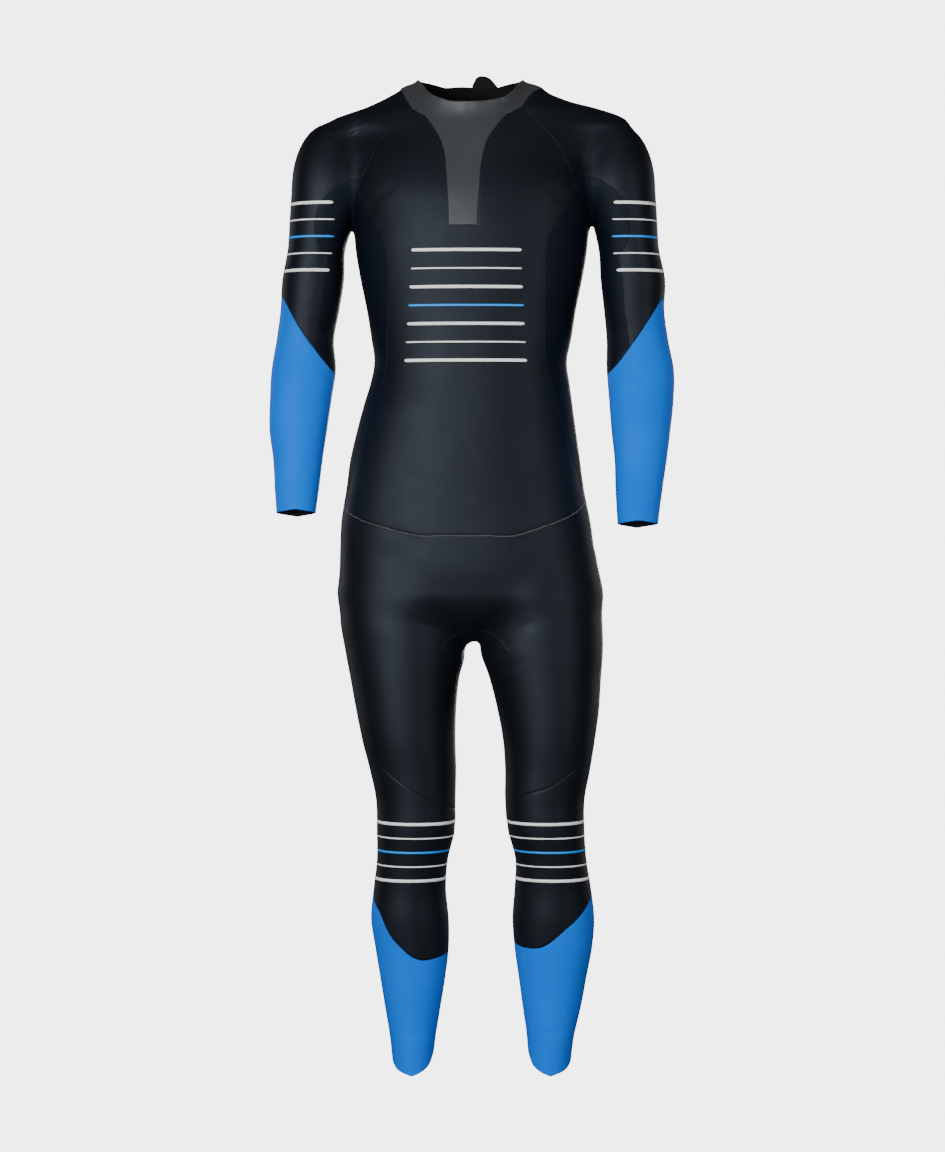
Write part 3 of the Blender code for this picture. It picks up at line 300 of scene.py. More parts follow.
# Soft troughs in the cloth: limb, angle and height of each end, bow to one side, depth and width
CREASES = (
    # front of the armpits
    ("trunk", -66, -150, -50, -122, 5, 0.7, 9), ("trunk", -68, -184, -52, -172, -4, 0.5, 10),
    ("trunk", 66, -148, 51, -118, -5, 0.7, 9), ("trunk", 68, -178, 50, -164, 4, 0.6, 10),
    # back of the armpits
    ("trunk", -118, -150, -138, -112, -5, 1.7, 8), ("trunk", -116, -186, -140, -178, 5, 1.5, 9),
    ("trunk", -112, -222, -136, -238, 4, 1.1, 10), ("trunk", 118, -154, 139, -118, 5, 1.6, 8),
    ("trunk", 117, -190, 143, -184, -5, 1.4, 9), ("trunk", 112, -226, 134, -240, -4, 1.2, 10),
    # small of the back and waist
    ("trunk", -160, -352, -104, -338, 6, 1.3, 11), ("trunk", -168, -392, -112, -402, -5, 1.5, 12),
    ("trunk", 162, -368, 108, -352, -6, 1.4, 11), ("trunk", 167, -410, 118, -418, 5, 1.3, 12),
    ("trunk", -158, -448, -120, -460, 4, 1.0, 12), ("trunk", 160, -452, 124, -446, -4, 1.0, 12),
    ("trunk", -88, -372, -58, -386, 3, 0.7, 11), ("trunk", 88, -378, 60, -366, -3, 0.7, 11),
    # hips below the waist seam
    ("trunk", -58, -606, -30, -640, 4, 0.8, 11), ("trunk", 56, -600, 32, -636, -4, 0.8, 11),
    # groin
    ("left_leg", 42, -772, 8, -736, 4, 1.1, 9), ("left_leg", 52, -806, 20, -786, 4, 0.9, 10),
    ("right_leg", -42, -774, -8, -738, -4, 1.1, 9), ("right_leg", -50, -810, -18, -792, -4, 0.9, 10),
    # under the seat
    ("left_leg", 150, -792, -168, -772, -7, 1.9, 10), ("left_leg", 160, -826, -150, -812, -5, 1.3, 11),
    ("right_leg", -150, -790, 166, -774, 7, 1.9, 10), ("right_leg", -160, -828, 150, -808, 5, 1.3, 11),
    # inside of the elbows and the points of the elbows
    ("left_arm", 12, -342, 62, -356, 5, 1.3, 7), ("left_arm", 4, -366, 56, -384, 5, 1.1, 8),
    ("left_arm", 20, -322, 66, -330, 4, 0.8, 8), ("left_arm", 158, -344, -150, -352, -4, 1.1, 9),
    ("left_arm", 164, -368, -158, -374, 4, 0.9, 9), ("right_arm", -12, -340, -62, -352, 5, 1.2, 7),
    ("right_arm", -6, -364, -58, -380, 5, 1.1, 8), ("right_arm", -22, -320, -66, -326, 4, 0.7, 8),
    ("right_arm", -156, -346, 152, -356, -4, 1.1, 9), ("right_arm", -164, -370, 156, -378, 4, 0.9, 9),
    # lower sleeves
    ("left_arm", -40, -520, 30, -532, 3, 0.6, 8), ("left_arm", 120, -530, -170, -546, 3, 0.8, 8),
    ("right_arm", 38, -528, -28, -540, 3, 0.6, 8), ("right_arm", -120, -540, 168, -552, 3, 0.8, 8),
    # backs of the knees
    ("left_leg", 128, -1018, -144, -1010, 4, 1.8, 9), ("left_leg", 124, -1044, -138, -1040, -3, 2.0, 9),
    ("left_leg", 132, -1072, -146, -1064, 4, 1.6, 9), ("left_leg", 142, -992, -158, -986, -4, 1.2, 10),
    ("right_leg", -128, -1016, 144, -1012, -4, 1.8, 9), ("right_leg", -124, -1042, 140, -1036, 3, 2.0, 9),
    ("right_leg", -132, -1070, 146, -1066, -4, 1.6, 9), ("right_leg", -144, -990, 156, -984, 4, 1.2, 10),
    # inner knees and ankles
    ("left_leg", 58, -1034, 98, -1046, 3, 0.7, 9), ("right_leg", -58, -1030, -98, -1044, 3, 0.7, 9),
    ("left_leg", -46, -1342, 34, -1352, 4, 0.8, 8), ("left_leg", 132, -1330, -140, -1338, -4, 1.1, 8),
    ("left_leg", 138, -1352, -150, -1348, 3, 0.9, 7), ("right_leg", 44, -1344, -36, -1350, 4, 0.8, 8),
    ("right_leg", -134, -1328, 138, -1338, -4, 1.1, 8), ("right_leg", -140, -1352, 148, -1350, 3, 0.9, 7),
    # collar
    ("neck", -48, 4, -36, 22, 2, 0.7, 7), ("neck", 44, 2, 34, 20, -2, 0.7, 7),
    ("neck", -2, -14, 1, 2, 2, 0.4, 8),
)
CREASE_STEPS = 14
CREASE_FADE = 0.7
# How far from its line a crease is felt, in widths, and how much of its depth the cloth rises beside it
CREASE_REACH = 3
CREASE_RISE = 0.8


def crease_lines():
    """Points along every crease with its depth there, faded out at both ends, and its width."""
    lines = []
    t = np.linspace(0, 1, CREASE_STEPS)
    arch = 4 * t * (1 - t)
    for limb, angle, height, last_angle, last_height, bow, depth, width in CREASES:
        turn = (last_angle - angle + 180) % 360 - 180
        points = on_limb(limb, angle + turn * t, height + (last_height - height) * t + bow * arch)
        lines.append((points, depth * arch ** CREASE_FADE, width))
    return lines


def pressed(points, out, lines):
    """Points moved in at the creases, and out a little beside them."""
    moved = np.zeros(len(points))
    for line, depth, width in lines:
        reach = CREASE_REACH * width
        near = np.where(((points > line.min(0) - reach) & (points < line.max(0) + reach)).all(1))[0]
        if not len(near):
            continue
        start, leg = line[:-1], np.diff(line, axis=0)
        offset = points[near, None] - start
        share = np.clip((offset * leg).sum(2) / (leg ** 2).sum(1), 0, 1)
        gap = np.linalg.norm(offset - share[..., None] * leg, axis=2)
        best = gap.argmin(1)
        rows = np.arange(len(near))
        here = share[rows, best]
        deep = depth[best] * (1 - here) + depth[best + 1] * here
        r = (gap[rows, best] / width) ** 2
        moved[near] -= deep * (1 - CREASE_RISE * r) * np.exp(-r)
    return points + out * moved[:, None]


# --- panels made finer

# Cosine of a turn above which a seam goes on, and how many times an edge's step a corner may be drawn in
STRAIGHT_COSINE = 0.8
MITRE_LIMIT = 2


def node_mesh(name):
    """A CAD node's points in millimetres, doubled points made one, and its triangles."""
    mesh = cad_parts[name].data
    points = np.empty(len(mesh.vertices) * 3, np.float32)
    mesh.vertices.foreach_get("co", points)
    points = points.reshape(-1, 3).astype(float) / MM
    mesh.calc_loop_triangles()
    faces = np.empty(len(mesh.loop_triangles) * 3, np.int32)
    mesh.loop_triangles.foreach_get("vertices", faces)
    _, first, place = np.unique(np.round(points, 2), axis=0, return_index=True, return_inverse=True)
    return points[first], place.reshape(-1)[faces].reshape(-1, 3)


def weld(points, reach):
    """For each point, the first point within reach of it."""
    tree = KDTree(len(points))
    for k, p in enumerate(points):
        tree.insert(p, k)
    tree.balance()
    target = np.arange(len(points))
    for k, p in enumerate(points):
        target[k] = target[min(j for _, j, _ in tree.find_range(p, reach))]
    return target


def compact(points, faces):
    """Only the points that the faces use, and the faces with the points' new numbers."""
    used, faces = np.unique(faces, return_inverse=True)
    return points[used], faces.reshape(-1, 3)


def face_normals(points, faces):
    a, b, c = points[faces].transpose(1, 0, 2)
    return np.cross(b - a, c - a)


def vertex_normals(points, faces):
    total = np.zeros_like(points)
    flat = face_normals(points, faces)
    for k in range(3):
        np.add.at(total, faces[:, k], flat)
    return total / np.maximum(np.linalg.norm(total, axis=1, keepdims=True), TINY)


def edge_table(faces, piece):
    """The edges, which edges each face has, and whether an edge is a hem or lies between two pieces."""
    ends = np.sort(faces[:, [0, 1, 1, 2, 2, 0]].reshape(-1, 2), axis=1)
    edges, place = np.unique(ends, axis=0, return_inverse=True)
    place = place.reshape(-1, 3)
    of_face = np.repeat(piece, 3)
    low, high = np.full(len(edges), piece.max() + 1), np.full(len(edges), -1)
    np.minimum.at(low, place.reshape(-1), of_face)
    np.maximum.at(high, place.reshape(-1), of_face)
    uses = np.bincount(place.reshape(-1), minlength=len(edges))
    return edges, place, (uses == 1) | (low != high)


def neighbours(links):
    """The points that each point is linked with."""
    around = {}
    for a, b in links:
        around.setdefault(a, []).append(b)
        around.setdefault(b, []).append(a)
    return around


def go_on(points, around, here, back):
    """The neighbour that carries a seam on past a point; None where the seam turns or ends."""
    way = points[here] - points[back]
    best, straightest = None, STRAIGHT_COSINE
    for other in around[here]:
        leg = points[other] - points[here]
        straight = way @ leg / (np.linalg.norm(way) * np.linalg.norm(leg))
        if other != back and straight > straightest:
            best, straightest = other, straight
    return best


def cut_finer(points, faces, piece, middles, settle):
    """Cuts each triangle into four; seams stay smooth curves, and settle puts the new points in place."""
    edges, place, seam = edge_table(faces, piece)
    middle = middles(points, faces, edges)
    around = neighbours(edges[seam].tolist())
    for k in np.where(seam)[0]:
        a, b = edges[k]
        before, after = go_on(points, around, a, b), go_on(points, around, b, a)
        first = 2 * points[a] - points[b] if before is None else points[before]
        last = 2 * points[b] - points[a] if after is None else points[after]
        middle[k] = (9 * (points[a] + points[b]) - first - last) / 16
    middle = settle(middle)
    n = len(points)
    (a, b, c), (ab, bc, ca) = faces.T, place.T + n
    finer = np.concatenate([np.stack(t, 1) for t in ((a, ab, ca), (ab, b, bc), (ca, bc, c), (ab, bc, ca))])
    return np.concatenate([points, middle]), finer, np.tile(piece, 4), edges


def refined(points, faces, piece, middles, settle):
    """A mesh cut finer, the mesh before the last cut, and the new point on each of its edges."""
    for _ in range(FINE_CUTS):
        coarse = points, faces, piece
        points, faces, piece, edges = cut_finer(points, faces, piece, middles, settle)
    cuts = {(a, b): len(coarse[0]) + k for k, (a, b) in enumerate(edges.tolist())}
    return points, faces, piece, coarse, cuts


def straight_middles(points, _, edges):
    return points[edges].mean(axis=1)


def round_middles(points, faces, edges):
    """Middles of edges on the curve that the normals at their ends ask for."""
    out = vertex_normals(points, faces)
    a, b = points[edges[:, 0]], points[edges[:, 1]]
    bend = ((b - a) * out[edges[:, 0]]).sum(1)[:, None] * out[edges[:, 0]]
    bend += ((a - b) * out[edges[:, 1]]).sum(1)[:, None] * out[edges[:, 1]]
    return (a + b) / 2 - bend / 8


def rim_of(faces):
    """Directed edges with no face on their other side."""
    pairs = faces[:, [0, 1, 1, 2, 2, 0]].reshape(-1, 2)
    have = {tuple(p) for p in pairs.tolist()}
    return [p for p in pairs.tolist() if (p[1], p[0]) not in have]


def inward(points, out, rim):
    """For each rim point, the way into the sheet: one long at right angles to each of its edges."""
    ways = {}
    for a, b in rim:
        way = np.cross(out[a] + out[b], points[b] - points[a])
        way /= np.linalg.norm(way)
        for v in (a, b):
            ways.setdefault(v, []).append(way)
    found = {}
    for v, each in ways.items():
        total = np.sum(each, axis=0)
        found[v] = total * min(len(each) / (total @ total), MITRE_LIMIT)
    return found


def shell(points, out, fine, coarse_points, coarse, cuts, thickness):
    """Points, faces and face slots of a sheet: a fine outer face with its edges (0), a coarser lining (1)."""
    used = np.unique(fine)
    place = {v: k for k, v in enumerate(used.tolist())}
    fine_rim = rim_of(fine)
    into = inward(points, out, fine_rim)
    verts = points[used].copy()
    for v, way in into.items():
        verts[place[v]] += way * EDGE_WIDTH
    rim_place = {v: len(used) + k for k, v in enumerate(into)}
    rim = np.array([points[v] - out[v] * EDGE_DROP for v in into])
    inner_used = np.unique(coarse)
    inner_place = {v: len(used) + len(rim) + k for k, v in enumerate(inner_used.tolist())}
    inner = coarse_points[inner_used] - out[inner_used] * thickness
    faces = np.vectorize(place.get)(fine).tolist()
    faces += [[place[b], place[a], rim_place[a], rim_place[b]] for a, b in fine_rim]
    for a, b in rim_of(coarse):
        m = cuts[min(a, b), max(a, b)]
        qa, qb = inner_place[a], inner_place[b]
        ra, rb, rm = rim_place[a], rim_place[b], rim_place[m]
        faces += [[rm, ra, qa], [rm, qa, qb], [rb, rm, qb]]
    outer_count = len(faces)
    faces += np.vectorize(inner_place.get)(coarse)[:, ::-1].tolist()
    slots = np.zeros(len(faces), np.int32)
    slots[outer_count:] = 1
    return np.concatenate([verts, rim, inner]), faces, slots


def placed(name, data):
    """A new object of the scene with this mesh, light or camera."""
    obj = bpy.data.objects.new(name, data)
    bpy.context.scene.collection.objects.link(obj)
    return obj


def add_mesh(name, verts, faces, materials, slots=None, sharp=32):
    """An object from points in millimetres, shaded smooth but for edges of more degrees than sharp."""
    mesh = bpy.data.meshes.new(name)
    loops = np.concatenate([np.asarray(f, np.int32) for f in faces])
    sizes = np.array([len(f) for f in faces], np.int32)
    mesh.vertices.add(len(verts))
    mesh.vertices.foreach_set("co", (np.asarray(verts, float) * MM).astype(np.float32).reshape(-1))
    mesh.loops.add(len(loops))
    mesh.loops.foreach_set("vertex_index", loops)
    mesh.polygons.add(len(sizes))
    mesh.polygons.foreach_set("loop_start", np.concatenate([[0], np.cumsum(sizes)[:-1]]).astype(np.int32))
    for material in materials:
        mesh.materials.append(material)
    if slots is not None:
        mesh.polygons.foreach_set("material_index", slots)
    mesh.update(calc_edges=True)
    mesh.validate()
    mesh.shade_smooth()
    if sharp:
        mesh.set_sharp_from_angle(angle=math.radians(sharp))
    return placed(name, mesh)


# --- finishes

# Scale and detail of the noise in the colour and in the roughness, and detail of the grain's
MOTTLE_NOISE = (14.0, 3.0)
ROUGH_NOISE = (38.0, 4.0)
GRAIN_DETAIL = 2.0
# The middle part of the noise's values, which is spread over the range
NOISE_LOW, NOISE_HIGH = 0.3, 0.7
# Metres from wave to wave of a wave texture at a scale of one
WAVE_LENGTH = math.pi / 10
# Distance of a knit's rows as a share of its columns'
KNIT_ROWS = 1.3
IOR = 1.5
SHEEN_ROUGHNESS = 0.4


def fill(tree, node, inputs):
    """Sets a node's inputs to values, or links them to other nodes' outputs."""
    for key, value in inputs.items():
        if isinstance(value, bpy.types.NodeSocket):
            tree.links.new(value, node.inputs[key])
        else:
            node.inputs[key].default_value = value


def add_node(tree, kind, inputs):
    made = tree.nodes.new(kind)
    fill(tree, made, inputs)
    return made


def noise(tree, coords, scale, detail):
    inputs = {"Vector": coords, "Scale": scale, "Detail": detail, "Roughness": 0.5}
    return add_node(tree, "ShaderNodeTexNoise", inputs).outputs["Fac"]


def bands(tree, coords, pitch, direction):
    """Parallel waves this many millimetres apart."""
    inputs = {"Vector": coords, "Scale": WAVE_LENGTH / (pitch * MM), "Distortion": 0.0}
    made = add_node(tree, "ShaderNodeTexWave", inputs)
    made.wave_type, made.bands_direction, made.wave_profile = "BANDS", direction, "SIN"
    return made.outputs["Fac"]


def ranged(tree, value, low, high):
    inputs = {"Value": value, "From Min": NOISE_LOW, "From Max": NOISE_HIGH, "To Min": low, "To Max": high}
    return add_node(tree, "ShaderNodeMapRange", inputs).outputs["Result"]


def maths(tree, kind, a, b):
    made = add_node(tree, "ShaderNodeMath", {0: a, 1: b})
    made.operation = kind
    return made.outputs["Value"]


# Colour, second colour of the mottle, roughness and its spread, gloss and its tint, grain's size and depth,
# weave ("knit" or "twill") with its pitch and depth, sheen, metallic; short rows end with FINISH_REST
FINISH = ("colour", "mottle", "rough", "spread", "gloss", "tint", "grain", "grain_depth", "weave", "pitch",
          "weave_depth", "sheen", "metallic")
FINISH_REST = {"weave": "", "sheen": 0, "metallic": 0}
PLAIN = (1.0, 1.0, 1.0)
COOL = (0.72, 0.83, 1.0)
FINISHES = {
    "neoprene": ((0.0028, 0.004, 0.0065), (0.0038, 0.0054, 0.0084), 0.53, 0.02, 0.25, COOL, 0.8, 0.012),
    "neoprene_navy": ((0.002, 0.0036, 0.0076), (0.0028, 0.0046, 0.0094), 0.6, 0.02, 0.17, COOL, 0.8, 0.014),
    "neoprene_blue": ((0.0, 0.158, 0.79), (0.0, 0.143, 0.73), 0.5, 0.04, 0.08, (0.1, 0.6, 1.0),
                      0.7, 0.012, "knit", 0.8, 0.018, 0, 0),
    "neoprene_grey": ((0.031, 0.033, 0.036), (0.037, 0.039, 0.042), 0.46, 0.05, 0.4, (0.9, 0.95, 1.0),
                      0.6, 0.02, "knit", 1.0, 0.06, 0.1, 0),
    "lining": ((0.003, 0.003, 0.0035), (0.004, 0.004, 0.0045), 0.85, 0.04, 0.2, PLAIN,
               0.6, 0.02, "knit", 1.1, 0.08, 0.05, 0),
    "print_white": ((0.94, 0.95, 0.96), (0.9, 0.91, 0.92), 0.5, 0.05, 0.5, PLAIN, 0.5, 0.01),
    "print_blue": ((0.0, 0.3, 0.95), (0.0, 0.28, 0.9), 0.5, 0.05, 0.3, PLAIN, 0.5, 0.01),
    "thread": ((0.012, 0.013, 0.015), (0.016, 0.017, 0.019), 0.75, 0.05, 0.3, PLAIN,
               0.2, 0.01, "twill", 0.3, 0.02, 0.1, 0),
    "thread_light": ((0.4, 0.41, 0.42), (0.48, 0.49, 0.5), 0.7, 0.05, 0.4, PLAIN,
                     0.2, 0.01, "twill", 0.3, 0.02, 0.2, 0),
    "zip_tape": ((0.004, 0.0045, 0.0055), (0.0055, 0.006, 0.0072), 0.82, 0.05, 0.2, COOL,
                 0.4, 0.02, "twill", 0.9, 0.08, 0, 0),
    "zip_teeth": ((0.012, 0.0125, 0.0135), (0.016, 0.0165, 0.0175), 0.4, 0.06, 0.5, COOL, 0.3, 0.006),
    "zip_metal": ((0.22, 0.22, 0.23), (0.3, 0.3, 0.31), 0.3, 0.08, 0.5, PLAIN, 0.2, 0.006, "", 1, 0, 0, 1),
    "pull_plastic": ((0.008, 0.0085, 0.0095), (0.011, 0.0115, 0.0125), 0.42, 0.06, 0.4, COOL, 0.5, 0.012),
}


def make_finish(name, look):
    f = {**FINISH_REST, **dict(zip(FINISH, look))}
    made = bpy.data.materials.new(name)
    made.use_nodes = True
    tree = made.node_tree
    shader = tree.nodes["Principled BSDF"]
    coords = tree.nodes.new("ShaderNodeTexCoord").outputs["Object"]
    mottle = tree.nodes.new("ShaderNodeMix")
    mottle.data_type = "RGBA"
    fill(tree, mottle, {"A": (*f["colour"], 1), "B": (*f["mottle"], 1),
                        "Factor": ranged(tree, noise(tree, coords, *MOTTLE_NOISE), 0.0, 1.0)})
    rough = noise(tree, coords, *ROUGH_NOISE)
    fill(tree, shader, {
        "Base Color": mottle.outputs["Result"], "Metallic": f["metallic"], "IOR": IOR,
        "Specular IOR Level": f["gloss"], "Specular Tint": (*f["tint"], 1),
        "Sheen Weight": f["sheen"], "Sheen Roughness": SHEEN_ROUGHNESS,
        "Roughness": ranged(tree, rough, f["rough"] - f["spread"], f["rough"] + f["spread"]),
    })
    grain = noise(tree, coords, 1 / (f["grain"] * MM), GRAIN_DETAIL)
    relief = maths(tree, "MULTIPLY", grain, f["grain_depth"])
    if f["weave"] == "knit":
        weave = maths(tree, "MULTIPLY", bands(tree, coords, f["pitch"] * KNIT_ROWS, "Z"),
                      bands(tree, coords, f["pitch"], "X"))
    if f["weave"] == "twill":
        weave = bands(tree, coords, f["pitch"], "DIAGONAL")
    if f["weave"]:
        relief = maths(tree, "ADD", relief, maths(tree, "MULTIPLY", weave, f["weave_depth"]))
    bump = add_node(tree, "ShaderNodeBump", {"Distance": MM, "Strength": 1.0, "Height": relief})
    fill(tree, shader, {"Normal": bump.outputs["Normal"]})
    return made


finishes = {name: make_finish(name, look) for name, look in FINISHES.items()}


# --- the cloth

# Finish of each panel, width and length that it is cut from before it is stretched on, and the share of that
# rectangle which the cut fills
PANELS = {
    "chest": ("neoprene", 390, 600, 0.65),
    "collar_front": ("neoprene_grey", 195, 220, 0.42),
    "collar_back_left": ("neoprene", 122, 42, 0.72),
    "collar_back_right": ("neoprene", 126, 46, 0.7),
    "side_left": ("neoprene_navy", 164, 448, 0.64),
    "side_right": ("neoprene_navy", 182, 440, 0.66),
    "back_left": ("neoprene", 184, 580, 0.7),
    "back_right": ("neoprene", 186, 565, 0.7),
    "zip_tape": ("zip_tape", 30, 484, 1.0),
    "legs_front": ("neoprene", 665, 460, 0.67),
    "seat_left": ("neoprene", 218, 474, 0.77),
    "seat_right": ("neoprene", 216, 458, 0.81),
    "gusset": ("neoprene", 365, 66, 0.64),
    "shoulder_left": ("neoprene", 295, 416, 0.6),
    "shoulder_right": ("neoprene", 325, 420, 0.59),
    "underarm_left": ("neoprene_navy", 160, 286, 0.57),
    "underarm_right": ("neoprene_navy", 164, 292, 0.6),
    "forearm_left": ("neoprene_blue", 268, 326, 0.67),
    "forearm_right": ("neoprene_blue", 275, 342, 0.67),
    "knee_left": ("neoprene", 358, 310, 0.68),
    "knee_right": ("neoprene", 366, 292, 0.71),
    "calf_left": ("neoprene_blue", 318, 264, 0.6),
    "calf_right": ("neoprene_blue", 340, 262, 0.62),
}
# The grey collar and the strip below it are cut in one
CUT_WITH = {"collar_front": ["front_strip"]}


# How far the back of the collar's rim (degrees from the front, depth) and the ends of the flap's top edge
# (x, depth) are drawn down
COLLAR_SINK = ((112, 0), (130, 2.5), (145, 5), (160, 6.5), (180, 6.5))
FLAP_SINK = ((-40, 5.5), (-27, 3), (-11, 0.5), (0, 0), (30, 0), (36, 2.5), (42, 6.5), (48, 7))
COLLAR_FOOT, COLLAR_TOP = 16, 40
COLLAR_AXIS = (3, 6)


def sunk(points, places, table):
    """Collar points drawn down: not at the collar's foot, and by the table's full depth at its rim."""
    share = np.clip((points[:, 2] - COLLAR_FOOT) / (COLLAR_TOP - COLLAR_FOOT), 0, 1)
    return points - np.array([0, 0, 1]) * (np.interp(places, *zip(*table)) * share)[:, None]


def from_front(points):
    """How many degrees round the collar from its front each point is."""
    across, deep = points[:, 0] - COLLAR_AXIS[0], points[:, 1] - COLLAR_AXIS[1]
    return np.degrees(np.arctan2(np.abs(across), -deep))


# Where the mesh is rougher than the limit, its points are drawn together, and less so those a few points on
ROUGH_LIMIT = 0.85
ROUGH_SPREAD = 3
SPREAD_SHARE = 0.85
RELAX_ROUNDS = 8


def relaxed(points, faces):
    """Points drawn together at rough places, where two forms of the skin meet."""
    hem = np.unique(rim_of(faces))
    ends = np.concatenate([faces[:, [0, 1]], faces[:, [1, 2]], faces[:, [2, 0]]])
    here, there = np.concatenate([ends, ends[:, ::-1]]).T
    count = np.bincount(here, minlength=len(points))

    def middle(values):
        return np.stack([np.bincount(here, v[there], len(points)) / count for v in values.T], axis=1)

    height = ((middle(points) - points) * vertex_normals(points, faces)).sum(1)[:, None]
    share = (np.abs(middle(height) - height)[:, 0] > ROUGH_LIMIT).astype(float)
    share[hem] = 0
    for _ in range(ROUGH_SPREAD):
        np.maximum.at(share, here, SPREAD_SHARE * share[there])
        share[hem] = 0
    for _ in range(RELAX_ROUNDS):
        points = points + (middle(points) - points) * share[:, None]
    return points


# The cloth between the legs hangs lower than its solid: middle (x, z), reach, depth, and its change with x
CROTCH_MIDDLE = (2, -772)
CROTCH_REACH = (26, 34)
CROTCH_DROP, CROTCH_TILT = 12, -0.2


def lowered(points):
    across, up = points[:, 0] - CROTCH_MIDDLE[0], points[:, 2] - CROTCH_MIDDLE[1]
    share = np.exp(-(across / CROTCH_REACH[0]) ** 2 - (up / CROTCH_REACH[1]) ** 2)
    return points - np.array([0, 0, 1]) * ((CROTCH_DROP + CROTCH_TILT * across) * share)[:, None]


# The lower belly turns under softly: height and reach of the ease, half its width, its depth, and how far in
# front it starts and is whole
BELLY_HEIGHT, BELLY_REACH, BELLY_HALF, BELLY_DEPTH = -714, 34, 70, 5
BELLY_FRONT = (30, 60)


def eased(points):
    x, y, z = points.T
    share = np.exp(-((z - BELLY_HEIGHT) / BELLY_REACH) ** 2 - ((x - CROTCH_MIDDLE[0]) / BELLY_HALF) ** 4)
    share *= np.interp(-y, BELLY_FRONT, (0, 1))
    return points + np.array([0, 1, 0]) * (BELLY_DEPTH * share)[:, None]


panel_names = list(PANELS)
gathered, total = [], 0
for number, name in enumerate(panel_names):
    for node in [name] + CUT_WITH.get(name, []):
        points, faces = node_mesh(node)
        outside = skin(points) > OUTER_FACE_DEPTH
        faces = faces[outside[faces].all(axis=1)]
        gathered.append((points, faces + total, np.full(len(faces), number)))
        total += len(points)
points, faces, piece = (np.concatenate(parts) for parts in zip(*gathered))
points, faces = compact(points, weld(points, WELD_REACH)[faces])
points = onto_skin(sunk(points, from_front(points), COLLAR_SINK))
points, faces, piece, coarse, cuts = refined(points, faces, piece, straight_middles, onto_skin)
points = relaxed(points, faces)
lines = crease_lines()
out = skin_normals(points)
points = lowered(eased(pressed(points, out, lines)))
coarse_points, coarse_faces, coarse_piece = points[:len(coarse[0])], *coarse[1:]

for number, (name, (finish, *sizes)) in enumerate(PANELS.items()):
    verts, shape, slots = shell(points, out, faces[piece == number], coarse_points,
                                coarse_faces[coarse_piece == number], cuts, SHEET_THICKNESS)
    obj = add_mesh(f"{name}_cloth", verts, shape, [finishes[finish], finishes["lining"]], slots)
    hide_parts(name, *CUT_WITH.get(name, []))
    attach(obj, "suit")


# --- seams' stitching

STITCH_PITCH = 3.4
STITCH_LENGTH = 2.6
STITCH_HALF_WIDTH = 0.24
STITCH_HEIGHT = 0.3
STITCH_SLANT = 0.55
# How deep a dark stitch and a light one lie in the cloth
STITCH_SINK = (0.12, 0.0)
SHORTEST_CHAIN = 4

# A stitch or tooth from end to end: place along it, and share of its width and of its height there
ROD_RINGS = ((-1.0, 0.35, 0.1), (-0.72, 0.9, 0.8), (0.72, 0.9, 0.8), (1.0, 0.35, 0.1))
# Its outline across: side and height
ROD_OUTLINE = ((-1, 0), (-0.62, 0.8), (0, 1), (0.62, 0.8), (1, 0))


def spaced(path, pitch):
    """Points this far apart along a path, with the way it runs at each."""
    legs = np.linalg.norm(np.diff(path, axis=0), axis=1)
    at = np.concatenate([[0], np.cumsum(legs)])
    count = max(int(at[-1] / pitch), 2)
    steps = np.linspace(0, at[-1], count + 1)
    line = np.stack([np.interp(steps, at, path[:, k]) for k in range(3)], axis=1)
    return line, unit(np.gradient(line, axis=0))


def seam_paths():
    """Chains of fine points along each seam between two panels, with the two panels' numbers."""
    edges, place, _ = edge_table(faces, piece)
    sides = {}
    for f, trio in enumerate(place.tolist()):
        for e in trio:
            sides.setdefault(e, set()).add(int(piece[f]))
    groups = {}
    for e, pair in sides.items():
        if len(pair) == 2:
            groups.setdefault(tuple(sorted(pair)), []).append(tuple(edges[e].tolist()))
    chains = []
    for pair, links in groups.items():
        around = neighbours(links)
        unused = {frozenset(link) for link in links}
        ends = [v for v, n in around.items() if len(n) == 1] or [links[0][0]]
        while unused:
            free = [v for v in ends if any(frozenset((v, w)) in unused for w in around[v])]
            here = free[0] if free else next(iter(next(iter(unused))))
            chain = [here]
            while True:
                step = [w for w in around[here] if frozenset((here, w)) in unused]
                if not step:
                    break
                unused.discard(frozenset((here, step[0])))
                here = step[0]
                chain.append(here)
            chains.append((pair, chain))
    return chains


def rods(centres, ways, outs, half_length, half_width, height):
    """Small rounded bars along each way, with their backs up."""
    across = unit(np.cross(outs, ways))
    verts = []
    for along, wide, tall in ROD_RINGS:
        for side, up in ROD_OUTLINE:
            verts.append(centres + ways * (along * half_length) + across * (side * wide * half_width)
                         + outs * (up * tall * height))
    verts = np.stack(verts, axis=1).reshape(-1, 3)
    count, ring = len(ROD_RINGS) * len(ROD_OUTLINE), len(ROD_OUTLINE)
    one = []
    for r in range(len(ROD_RINGS) - 1):
        for c in range(ring):
            a, b = r * ring + c, r * ring + (c + 1) % ring
            one.append([a, b, b + ring, a + ring])
    one += [list(range(ring))[::-1], list(range(count - ring, count))]
    return verts, [[v + k * count for v in face] for k in range(len(centres)) for face in one]


LIGHT_SEAMS = {frozenset(pair) for pair in (
    ("chest", "legs_front"), ("side_left", "legs_front"), ("side_right", "legs_front"),
    ("side_left", "seat_left"), ("side_right", "seat_right"), ("back_left", "seat_left"),
    ("back_right", "seat_right"))}

